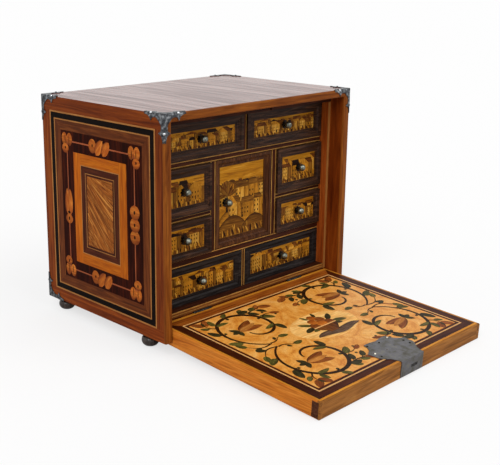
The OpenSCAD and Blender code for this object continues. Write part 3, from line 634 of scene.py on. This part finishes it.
# %% Both sides
def waves(rect):
    """Slips of wavy wood across a rectangle. With s running across it, and heights as shares
    of its own, slip k has its lower edge at 0.3 + 0.1 k - d (1 - s^1.5), where the drop d is
    0.16 + 0.05 (12 - k). Its upper edge lies 0.115 (1 + 0.2 sin 2.4 k) higher and ripples by
    2.5 sin(7 s + k) mm. Both are cut off at the rectangle, and empty slips are left out."""
    u0, v0, u1, v1 = rect
    s = np.linspace(0, 1, 12)
    u, tall = u0 + (u1 - u0) * s, v1 - v0
    slips = []
    for k in range(-6, 13):
        drop = 0.16 + 0.05 * (12 - k)
        low = v0 + tall * (0.10 * k - drop * (1 - s ** 1.5) + 0.30)
        high = low + tall * 0.115 * (1 + 0.2 * math.sin(2.4 * k)) + 2.5 * np.sin(7 * s + k)
        low, high = (np.clip(edge, v0, v1) for edge in (low, high))
        if (high - low).max() > 0.5:
            slips.append(between(u, low, np.maximum(high, low + 0.02)))
    return slips


# Rectangles on a side, in mm from the front and the underside: the outermost line, the orange
# frame, and the board itself, which the bead covers up to BEAD.
SIDE, FRAME, BOARD, BEAD = (21, 21, 296, 342), (91, 85, 231, 277), (0.3, 0.3, 317.7, 365.7), 4.2
u0, v0, u1, v1 = SIDE
near, foot, far, head = BOARD
for hand in HANDS:
    core = side_panel(hand, hand + "_side", "carcass", SIDE, FRAME)
    lay(hand + "_side_panel_ground", [box(*core, True)], hand, 0.12, heart_brown, "carcass")
    lay(hand + "_side_outer_border", [box(near, v1, far, head), box(BEAD, foot, far, v0),
        box(BEAD, v0, u0, v1, True), box(u1, v0, far, v1, True)], hand, 0.05, outer_wood,
        "carcass")
    lay(hand + "_side_wavy_panel", waves(core), hand, 0.15, wavy_wood, "carcass", seed=4)
print("side panels laid, their middle", np.round(core, 1).tolist(), "mm")

# %% [markdown]
# The fall's inner face is the show piece. A dark border with a light line and a dark one
# frames a honey burr, for four vines round an oval with a bowl of fruit. A burr has no run of
# grain, only swirls and eyes, so its material is made of two noises that are bent hard.

# %% Border and ground of the fall
# The burr, the outside of the dark border, and the inside of the lipping, mm.
FIELD, BORDER = (-182.5, 30.5, 182.5, 304.5), (-203.2, 6.8, 203.2, 323)
LIPPING = (-206.4, 1.2, 206.4, 326.4)


def inlay(part, strips, rise, look, seed=1):
    """Slips on the inner face of the fall."""
    lay("fall_" + part, strips, "fall_in", rise, look, "fall", seed=seed)


burr_honey, tree = fresh("burr_maple_honey")
where = put(tree, "TexCoord").outputs["Object"]
swirl = put(tree, "TexNoise", Vector=where, Scale=20.0, Detail=5.0, Roughness=0.62,
            Distortion=2.6)
veins = put(tree, "TexNoise", Vector=where, Scale=70.0, Detail=3.0, Distortion=3.0)
honey = ramp(tree, swirl, "#C26A1C #E09438 #ECA84E #F4C070", 0.25, 0.42, 0.55, 0.75)
vein = ramp(tree, veins, "#FFFFFF #C8783A #FFFFFF", 0.45, 0.55)
bump = put(tree, "Bump", Height=veins, Strength=0.1, Distance=0.0002)
skin = put(tree, "BsdfPrincipled", Base_Color=mix(tree, 0.4, honey, vein, "MULTIPLY"),
           Normal=bump, Specular_IOR_Level=0.14, Roughness=0.36, IOR=1.5)
put(tree, "OutputMaterial", Surface=skin)

rear_band = slip("walnut_rear_band", "#662C0A #8C4812 #A25C20", 90, 7)
# Partly painted highlight: a pale strip just inside the lipping, both wear on its arris and a
# painted highlight where the rounded edge catches the light.
edge_wear_highlight_wood = slip("cherry_edge_wear_and_highlight", "#B8701E #DC9630", 60, 5, depth=0.2)
rear, right, front, left = mitred(BORDER, inset(FIELD, -4))
inlay("ground", [box(*inset(FIELD, 4))], 0.08, burr_honey)
inlay("dark_border", [left, right, front[::-1]], 0.11, border_wood)
inlay("rear_band", [rear], 0.11, rear_band)
inlay("light_line", band(inset(FIELD, -4), 2.7), 0.18, string_wood)
inlay("black_line", band(inset(FIELD, -1.3), 4.2), 0.17, border_wood)
u0, v0, u1, v1 = LIPPING
a0, b0, a1, _ = BORDER
head = 322.3  # the line in front lies a little over the border
inlay("edge_wear_and_highlight", [box(a0, v0, a1, b0), box(u0, head, u1, v1),
                     box(u0, v0, a0, head, True), box(a1, v0, u1, head, True)], 0.13, edge_wear_highlight_wood)
print("burr ground", FIELD[2] - FIELD[0], "by", FIELD[3] - FIELD[1], "mm")

# %% [markdown]
# A vine is a spiral that tightens round its flower, with leaves outside it and small buds
# inside. It could be drawn freehand, but one formula for the radius keeps its curl even. It is
# worked out for one quarter of the fall. The others are its mirror images, with small changes
# in the leaves so that no two are quite alike.

# %% A vine
HEART = np.array([104, 73])  # middle of the spiral, from the middle of the field
MIDDLE = np.array([0, (FIELD[1] + FIELD[3]) / 2])


def vine(s):
    """A point of the spiral: the angle runs from -75 to 310 degrees and the radius is
    70 - 90 s + 85 s^2 - 43 s^6 mm about its heart."""
    a = np.radians(-75 + 385 * s)
    r = 70 - 90 * s + 85 * s ** 2 - 43 * s ** 6
    return np.stack([HEART[0] + r * np.cos(a), HEART[1] + r * np.sin(a)], -1)


def flower(at, turn, size):
    """A tulip: two outer petals whose tips bend apart, a middle one and a calyx of three."""
    petals = [leaf(at, turn + 0.2, size, size * 0.34, 0.1, 0.6),
              leaf(at, turn - 0.2, size, size * 0.34, -0.1, 0.6),
              leaf(at, turn, size * 0.9, size * 0.26, 0.0, 0.6)]
    back = turn + math.pi
    calyx = [leaf(at, back + k, size * 0.36, size * 0.2, 0.3 * k, 0.7) for k in (-0.8, 0, 0.8)]
    return petals, calyx


def quarter(su, sv, rng):
    """The slips of one vine, mirrored by su and sv about the middle of the field."""
    stems, green, dark, plum, pale = [], [], [], [], []

    def spring(kind, at, angle, length, wide, bend=0.25):
        """A leaf on a stalk 4 mm long, give or take a tenth of a radian."""
        angle += rng.uniform(-0.1, 0.1)
        tip = at + toward(angle, 4)
        stems.append(ribbon(np.linspace(at, tip, 4), 0.7))
        kind.append(leaf(tip, angle, length, wide, bend, 0.55))

    def branch(start, end, bow, *leaves):
        """A straight run bowed sideways as a half sine, tapering to its tip, with leaves at
        some of its 12 stations."""
        t = np.linspace(0, 1, 12)[:, None]
        start, end = np.array(start, float), np.array(end, float)
        side = np.array([start[1] - end[1], end[0] - start[0]])
        path = start + (end - start) * t + side * bow * np.sin(np.pi * t)
        stems.append(ribbon(path, 1.6 * (1 - 0.6 * t[:, 0])))
        for kind, station, *shape in leaves:
            spring(kind, path[station], *shape)
        return path

    # The spiral with its flower.
    s = np.linspace(0, 1, 60)
    stems.append(ribbon(vine(s), 1.3 + 2.1 * np.sin(np.pi * s) ** 0.8))
    turn = math.radians(rng.uniform(165, 200))
    petals, calyx = flower(HEART - toward(turn, 25), turn, 48)
    plum += petals[:2]
    pale.append(petals[2])
    dark += calyx
    # Leaves and buds along it, each at its share of the way and with its length.
    for k, (place, length) in enumerate(((0.09, 24), (0.19, 26), (0.29, 19), (0.39, 19),
                                         (0.49, 22), (0.60, 26), (0.72, 24))):
        p = vine(np.array([place, place + 0.01]))
        way = math.atan2(*(p[1] - p[0])[::-1])
        length *= rng.uniform(0.92, 1.1)
        spring(dark if k in (1, 4, 6) else green, p[0], way - 0.75, length, length * 0.52, 0.22)
        if k in (1, 3, 5):
            tip = p[0] + toward(way + 0.9, 8)
            stems.append(ribbon(np.linspace(p[0], tip, 5), 0.8))
            dark.append(disc(tip, 2.8))
        if k in (2, 6):
            green.append(leaf(p[0], way + 0.45, 25, 9, 0.35, 0.6))
    # Side branches with their leaves, buds and half-open flowers.
    branch((122, 8), (99, 15), 0.15, (green, -1, 3.0, 19, 10), (dark, 6, 1.9, 9, 6))
    branch((125, 6), (160, 16), -0.18, (green, -1, 0.9, 20, 11), (dark, 5, -0.1, 16, 9, -0.2))
    tip = branch((150, 98), (160, 116), -0.15, (green, 4, 0.3, 15, 9, 0.3))[-1]
    plum += [leaf(tip, a, 22, 14, -0.3, 0.5) for a in (2.5, 1.1)]
    dark.append(leaf(tip, 1.8, 13, 5, 0.1, 0.6))
    low = branch((90, 118), (34, 117), 0.10, (green, 2, 2.1, 15, 10), (dark, 4, 3.9, 20, 11),
                 (green, 6, 2.5, 17, 10), (dark, 8, 3.8, 19, 10))
    plum += [leaf(low[-1], 3.35, 25, 13, 0.15, 0.5), leaf(low[9], 2.6, 19, 10, -0.2, 0.5)]
    spray = branch((57, 84), (36, 88), -0.2)
    plum.append(leaf(spray[-1], 3.3, 18, 9, 0.25, 0.5))
    dark += [disc(spray[7] + [0, 7], 2.4), disc(spray[-1] + [-6, -8], 2.2)]
    return [[strip * [su, sv] + MIDDLE for strip in kind]
            for kind in (stems, green, dark, plum, pale)]


print("a vine starts", np.round(vine(0.0), 1).tolist(), "mm from the middle")


# %% [markdown]
# The four vines are laid wood by wood. Leaves lie over the stems, and the pale middle petal
# of a tulip over its two plum ones.

# %% Four vines
rng = np.random.default_rng(11)
quarters = [quarter(su, sv, rng) for su in (-1, 1) for sv in (-1, 1)]
for kind, (part, rise, look) in zip(zip(*quarters), (
        ("vine_stems", 0.20, stem_wood), ("green_leaves", 0.22, leaf_wood),
        ("dark_leaves", 0.23, leaf_dark), ("plum_petals", 0.21, petal_wood),
        ("pale_petals", 0.24, petal_pale))):
    inlay(part, sum(kind, []), rise, look)
    print(part, sum(len(strips) for strips in kind))

# %% [markdown]
# The oval in the middle has a paler ground. On it stands a bowl of fruit among its leaves,
# read from the front edge of the fall. The bowl is sand-shaded on one edge to look round.

# %% Oval and bowl of fruit
oval_wood = slip("maple_oval_ground", "#DC9C4C #F0B868 #F8D088", 60, 12)
bowl_wood = slip("walnut_bowl_shaded", "#4A220A #6A3812 #86501E", 30, 4, scorch="#200C04")
bank_wood = slip("walnut_grassy_bank", "#3E2A1A #5A4230 #7A5E48", 30, 4, scorch="#24140C")
t = np.linspace(0, 1, 16)
# The bank's half width is 1 + 7.5 sqrt(sin), the bowl's 26 - 20 t^1.6, which flares at its foot.
bank = ribbon(np.stack([-46 + 104 * t, 195 - 2.5 * np.sin(9 * t)], 1),
              1 + 7.5 * np.sin(np.pi * t) ** 0.5)
bowl = ribbon(np.stack([0 * t, 169 + 24 * t], 1),
              26 - 20 * t ** 1.6 + 40 * t * np.clip(t - 0.8, 0, 1))
fruit = [disc((x, y), r) for x, y, r in (
    (-17, 163, 9.5), (1, 161, 10.5), (18, 164, 9), (-9, 150, 9), (10, 149, 9.5), (1, 138, 8))]
sprays = [leaf((x, y), w, size, size * 0.42, bend, 0.55) for x, y, w, size, bend in (
    (-20, 158, 3.6, 24, 0.2), (-22, 166, 3.1, 27, -0.2), (-18, 172, 2.7, 18, 0.2),
    (20, 157, -0.5, 25, -0.2), (23, 167, 0.05, 28, 0.2), (18, 172, 0.5, 18, -0.2),
    (-8, 140, 4.2, 16, 0.2), (9, 139, -1.0, 16, -0.2))]
inlay("oval_ground", [oval(MIDDLE, 70, 43, 25)], 0.13, oval_wood)
inlay("bank", [bank], 0.17, bank_wood)
inlay("bowl", [bowl], 0.22, bowl_wood)
inlay("bowl_lip", [box(-27, 168, 27, 170.6)], 0.27, string_wood)
inlay("fruit_plum", fruit[::2], 0.18, petal_wood, seed=3)
inlay("fruit_gold", fruit[1::2], 0.20, strap_wood, seed=5)
inlay("fruit_leaves", sprays[::2], 0.15, leaf_wood, seed=2)
inlay("fruit_leaves_dark", sprays[1::2], 0.16, leaf_dark, seed=8)
print("fall inlaid, pieces now", len(bpy.data.meshes))

# %% [markdown]
# Closed, the fall is the front of the cabinet, so its outside has the same panel as the sides.
# The dark blocks at the ends of its front lipping are end grain, which drinks more oil.

# %% Outside of the fall
core = side_panel("fall_out", "fall_front", "fall", (-182, 22, 182, 307),
                  (-112, 86, 112, 243), spears=False)
lay("fall_front_wavy_panel", [box(*core)], "fall_out", 0.15, wavy_wood, "fall", seed=9)
end_wood = slip("walnut_end_grain", "#32180C #4A2818 #5E3A26", 4, 4)
for hand in HANDS:
    lay(f"fall_{hand}_end_grain", [box(314.5, -26.6, 326.5, -2.2)], "fall_" + hand, 0.08,
        end_wood, "fall")
print("outside of the fall laid, its middle", np.round(core, 1).tolist(), "mm")

# %% [markdown]
# The dividers between the drawers carry a light line on each edge. It could be a stripe in
# their finish, but real lines are let in and end where they meet another. In front of the
# drawers a thin strip covers the floor, and the two linings show a paler front.

# %% Lines on the dividers
def edged(u0, v0, u1, v1, upright=False):
    """Two lines 1.5 mm wide along the long edges of a divider's front."""
    if upright:
        return [box(u0 + 0.5, v0, u0 + 2, v1, True), box(u1 - 2, v0, u1 - 0.5, v1, True)]
    return [box(u0, v0 + 0.5, u1, v0 + 2), box(u0, v1 - 2, u1, v1 - 0.5)]


INSIDE = 202  # half the width between the linings, mm
sill_wood = slip("walnut_sill_strip", "#542C10 #74441C #8C5A2C", 90, 4)
front_wood = slip("walnut_lining_front", "#5A3014 #7C4A20 #8E5A2C", 90, 5)
# Two dividers, then on each hand a partition and a shelf, then two uprights.
lines = edged(-INSIDE, 267, INSIDE, 277) + edged(-INSIDE, 100, INSIDE, 113)
for s in (-1, 1):
    near, far = sorted((s * 69.5, s * 81.5))
    lines += edged(near, 113.3, far, 266.7, True)
    near, far = sorted((s * 82, s * INSIDE))
    lines += edged(near, 177.5, far, 186)
lines += edged(-4, 277.3, 4, 340.7, True) + edged(-4, 32.8, 4, 99.7, True)
lay("divider_lines", lines, "dividers", 0.15, string_gold, "carcass")
for part, strips, rise, look in (
        ("sill_strip", [box(-INSIDE, 23.5, INSIDE, 30.6)], 0.05, sill_wood),
        ("sill_lines", [box(-INSIDE, 30.6, INSIDE, 32.2), box(-INSIDE, 26.2, INSIDE, 27.2)],
         0.10, string_gold),
        ("lining_fronts", [box(-209.4, 22, -202.6, 340.5, True),
                           box(202.6, 22, 209.4, 340.5, True)], 0.05, front_wood),
        ("lining_edges", [box(-209, 23, -203.4, 340, True), box(203.4, 23, 209, 340, True)],
         0.10, string_tan)):
    lay(part, strips, "linings", rise, look, "carcass")
print("divider lines:", len(lines))

# %% [markdown]
# The drawer fronts show little townscapes, built up from back to front: a golden sky, hills,
# houses, trees and a foreground. Colour alone could draw them, but as on the real ones each
# wall, roof and window is a slip. A view is a list of slips, each with its kind of wood.

# %% Woods of the townscapes
KINDS = {
    "sky": slip("maple_sky_golden", "#86500C #AA7014 #C68C2A", 70, 9),
    "hill": slip("walnut_hill_shaded", "#4E2C0C #764A14 #946420", 40, 4, scorch="#2C1406"),
    "wall": slip("maple_wall_light", "#A06A1C #C48C2E #E0B058", 12, 3, scorch="#4E260A"),
    "gold": slip("boxwood_wall_golden", "#8A5610 #B0741C #C88C2E", 12, 3, scorch="#3E1C06"),
    "roof": slip("plum_roof_shaded", "#3E1E08 #62340F #845018", 18, 3, scorch="#200E04"),
    "dark": slip("walnut_window_dark", "#160C07 #2A160B"),
}
print("woods of the views:", ", ".join(KINDS))

# %% [markdown]
# A house is two walls, a roof and its windows. Its size, its roof and the light on its wall
# are drawn by lot, since hundreds of them placed by hand would look no more lively.

# %% Trees, houses and streets
def add_tree(add, u, base, tall, rng, leaves=8, broad=0.2):
    """A trunk that leans, under a crown of leaves. broad is a leaf's width as a share of the
    tree's height."""
    add("dark", ribbon([[u, base], [u + 0.6, base + tall * 0.4], [u, base + tall * 0.7]],
                       np.array([0.9, 0.6, 0.2]) * tall / 22))
    for a in np.linspace(0.1, 3.0, leaves) + rng.uniform(-0.15, 0.15, leaves):
        kind = "roof" if rng.random() < 0.5 else "hill"
        length = tall * rng.uniform(0.34, 0.52)
        add(kind, leaf((u, base + tall * 0.5), a, length, tall * broad, 0.2, 0.45))


def add_house(add, u, base, wide, tall, rng, shade, roof):
    """A lit front, a side in the wood shade, a roof of one of three shapes and windows."""
    kind = rng.integers(0, 4)
    lit = 0.6 if roof is None else 0.85
    roof = roof or ("roof", "dark", "roof", "gold")[rng.integers(0, 4)]
    eave = base + tall * (0.7, 0.76, 0.7, 0.88)[kind]
    top, side = base + tall, wide * rng.uniform(0.24, 0.38)
    end = u + wide
    front = end - side
    add("wall" if rng.random() < lit else "gold", box(u, base, front, eave, True))
    add(shade, box(front, base, end, eave, True)[:, ::-1])
    if kind == 3:  # a tower with a spire
        slope = ribbon([[u + wide / 2, eave], [u + wide / 2, top + tall * 0.1]], [wide * 0.6, 0.1])
    elif kind == 0:  # a gable to the street
        middle = (u + front) / 2
        add("gold", ribbon([[middle, eave], [middle, top]], [middle - u, 0.1]))
        slope = [[[middle, top], [front, eave]], [[end - side / 2, top], [end + 0.5, eave]]]
    else:  # a long roof, and a chimney on some
        if kind == 1:
            x = u + wide * rng.uniform(0.2, 0.6)
            add("gold", box(x, top - 1, x + 1.8, top + tall * 0.12, True))
        slope = [[[u + 1.5, top], [u - 0.6, eave]], [[end - side * 0.6, top], [end + 0.7, eave]]]
    add(roof, np.array(slope))
    size = max(1.3, tall * 0.075)  # of the windows, and then a door
    for x in np.arange(u + size * 1.3, front - size, size * 2.5):
        for z in np.arange(base + size * 2.2, eave - size * 1.2, size * 3):
            add("dark", box(x - size * 0.4, z, x + size * 0.4, z + size * 1.3, True))
    add("dark", box(u + size * 0.9, base, u + size * 2, base + size * 1.7, True))


def add_street(add, left, right, base, low, high, rng, shade="hill", roof=None, broad=1.5):
    """Houses side by side with a tree now and then, low to high mm tall and up to broad times
    as wide. Without a wood for the roofs, each roof has its own."""
    u = left + rng.uniform(-3, 1)
    while u < right - low * 0.3:
        tall = rng.uniform(low, high)
        if rng.random() < 0.16:
            add_tree(add, u + tall * 0.2, base, tall, rng)
            u += tall * 0.42
            continue
        wide = tall * rng.uniform(0.5, broad)
        add_house(add, u, base + rng.uniform(-0.04, 0.04) * tall, wide, tall, rng, shade, roof)
        u += wide * rng.uniform(0.92, 1.12)


sample = []
add_street(lambda *slip: sample.append(slip), 0, 100, 0, 20, 30, np.random.default_rng(0))
print("a street 100 mm long has", len(sample), "slips")


# %% [markdown]
# The view on the door is taller and shows a town on a slope: a hamlet far off, two streets
# one below the other, a tree and two dark banks. All views end in a fringe of grass and are
# cut off at the moulding.

# %% Views
def mound(left, right, base, top, bow=1.0):
    """A hill: a flat foot and a back that follows a half sine to the power bow."""
    t = np.linspace(0, 1, 24)
    u = left + (right - left) * t
    rise = np.maximum((top - base) * np.sin(np.pi * t) ** bow, 0.05)
    return between(u, base + rise, base + 0 * u)


def hill_town(add, e, f, rng):
    """The door's view inside -e to e and -f to f, the furthest slips first."""
    h = 2 * f
    add("hill", mound(-e, e * 0.1, f * 0.1, f * 0.6))
    add("hill", mound(-e * 0.2, e, f * 0.1, f * 0.52))
    add_street(add, -e * 0.3, e, f * 0.3, h * 0.09, h * 0.14, rng)
    add("gold", mound(-e * 1.4, e * 1.4, -f * 0.2, f * 0.36, 0.4))
    add_street(add, -e, e, -f * 0.1, h * 0.26, h * 0.36, rng, "gold", "hill", 0.95)
    add("gold", mound(-e * 1.3, e * 1.6, -f, -f * 0.06, 0.5))
    add_street(add, -e * 0.55, e, -f * 0.56, h * 0.27, h * 0.36, rng, "gold", "hill", 0.95)
    add_tree(add, -e * 0.66, -f * 0.3, h * 0.46, rng, leaves=17, broad=0.075)
    add("hill", mound(-e * 1.2, e * 0.4, -f, -f * 0.42, 0.7))
    add("hill", mound(-e * 0.1, e * 1.3, -f, -f * 0.5, 0.7))
    for k, a in ((-20, 1.2), (-17, 1.7), (14, 1.4)):
        add("wall", leaf((k, -f * 0.96), a, h * 0.14, 3, 0.2, 0.6))


def low_town(add, e, f, rng):
    """A drawer's view: three hills, two streets and a strip of ground."""
    w, h = 2 * e, 2 * f
    for k in range(3):
        add("hill", mound(-e + w * (k - 0.3) / 3, -e + w * (k + 1.1) / 3, -f * 0.2,
                          f * rng.uniform(0.3, 0.7)))
    add_street(add, -e, e, -f * 0.4, h * 0.5, h * 0.68, rng)
    add_street(add, -e, e, -f * 0.8, h * 0.45, h * 0.78, rng)
    add("hill", box(-e, -f, e, -f * 0.8))


def picture(place, name, body, w, h, seed, town=low_town):
    """Lays a view w by h mm. What stands nearer lies a hair higher, from 0.06 to 0.36 mm."""
    e, f, rng = w / 2, h / 2, np.random.default_rng(seed)
    edge = np.array([e, f]) - 0.02
    view = []

    def add(kind, strip):
        """The next slip, cut off at the moulding."""
        view.append((kind, np.clip(strip, -edge, edge)))

    add("sky", box(-e, -f, e, f))
    town(add, e, f, rng)
    for k in range(int(w / 3.5)):
        u = -e + 3.5 * k + rng.uniform(0, 3)
        kind = ("hill", "roof", "wall", "roof", "dark", "gold")[k % 6]
        angle, length = rng.uniform(1.1, 2.0), min(rng.uniform(0.12, 0.3) * h, 13)
        add(kind, leaf((u, -f), angle, length, 3.2, 0.2, 0.5))
    heights = np.linspace(0.06, 0.36, len(view))
    for kind, look in KINDS.items():
        chosen = [i for i, (k, _) in enumerate(view) if k == kind]
        lay(f"{name}_{kind}", [view[i][1] for i in chosen], place, heights[chosen], look, body,
            seed=seed)
    print(name, len(view), "slips")


# %% [markdown]
# Each drawer has its own view from its own seed, so that it comes out the same every time. It
# fills the field inside the mouldings.

# %% Eight drawers and a door
# Each front's x0, x1, z0 and z1, and the widths of its moulding at the sides and the top, mm.
VIEWS = {"top": (4, 202.5, 277, 341, 19, 16.5), "upper": (81.5, 202.5, 186, 267, 14.5, 16),
         "lower": (81.5, 202.5, 113, 177.5, 14.5, 12), "bottom": (4, 202.5, 32.5, 100, 17, 14.5)}
for number, (row, (x0, x1, z0, z1, mx, mz)) in enumerate(VIEWS.items()):
    size = (x1 - x0 - 2 * mx - 1.3, z1 - z0 - 2 * mz - 1.1)
    for k, hand in enumerate(HANDS):
        centre = ((2 * k - 1) * (x0 + x1) / 2000, behind(ROWS[row]), BASE + (z0 + z1 - 0.7) / 2000)
        PLACES[row + hand] = (centre, X, Z, -Y)
        picture(row + hand, f"{row}_{hand}_view", f"{row}_{hand}_drawer", *size,
                seed=20 + 2 * number + k)
PLACES["door"] = ((0, behind(DOOR), BASE + 0.190), X, Z, -Y)
picture("door", "door_view", "door", 109.2, 124.8, seed=41, town=hill_town)
print("views laid; pieces now", len(bpy.data.meshes))

# %% [markdown]
# A white table and a soft, even light. The world is white to the camera and in reflections,
# and lights the cabinet only gently. Two wide lamps, one high on the left and one on the
# right, give the wood its form. The table glows a little to the camera: more light would make
# it white as well, but would wash out the wood.

# %% Table and light
FAR = 30  # half the width of the table, in metres
plane = bpy.data.meshes.new("table")
plane.from_pydata([(-FAR, -FAR, 0), (FAR, -FAR, 0), (FAR, FAR, 0), (-FAR, FAR, 0)], [],
                  [(0, 1, 2, 3)])
table = stand("table", plane)
look, tree = fresh("paper_white_matt")
paper = put(tree, "BsdfDiffuse", Color=linear("#E8E8E8"))
glow = put(tree, "Emission", Strength=1.12, Color=(1, 1, 1, 1))
share = calc(tree, "MULTIPLY", put(tree, "LightPath").outputs["Is Camera Ray"], 0.6)
white = put(tree, "MixShader", {0: share, 1: paper, 2: glow})
put(tree, "OutputMaterial", Surface=white)
plane.materials.append(look)

world = bpy.data.worlds.new("studio")
bpy.context.scene.world = world
world.use_nodes = True
tree = world.node_tree
tree.nodes.clear()
ray = put(tree, "LightPath").outputs
seen = calc(tree, "MAXIMUM", ray["Is Camera Ray"], ray["Is Glossy Ray"])
seen = calc(tree, "MAXIMUM", seen, ray["Is Transmission Ray"])
level = put(tree, "MapRange", Value=seen, To_Min=0.5, To_Max=1.0)
sky = put(tree, "Background", Strength=level, Color=(1, 1, 1, 1))
put(tree, "OutputWorld", Surface=sky)

# Suns: compass angle and height in degrees, strength, and width in degrees.
for name, azimuth, height, strength, width in (("key", -62, 42, 1.5, 40),
                                               ("fill", 20, 35, 0.9, 60)):
    sun = bpy.data.lights.new(name, "SUN")
    sun.energy, sun.angle = strength, math.radians(width)
    lamp = stand(name, sun)
    lamp.rotation_euler = (math.radians(90 - height), 0, math.radians(azimuth))
    print(name, "light, strength", strength)

# %% [markdown]
# The camera stands where the photographer stood, about 1.3 m from the near corner and 0.2 m
# above the top, with a long lens so that the uprights stay nearly parallel.

# %% Camera
lens = bpy.data.cameras.new("camera")
lens.sensor_width = 36
lens.lens = 65.18
lens.shift_x = 0.11
lens.shift_y = -0.059
camera = stand("camera", lens)
bpy.context.scene.camera = camera
camera.location = (-1.1052, -1.0072, 0.5945)
camera.rotation_euler = (math.radians(90 - 14.285), 0, math.radians(-43.43))
bpy.context.scene.view_settings.view_transform = "Standard"
print("camera at", [round(c, 4) for c in camera.location])

# %% [markdown]
# Last, the view layer is brought up to date.

# %% Finish
bpy.context.view_layer.update()
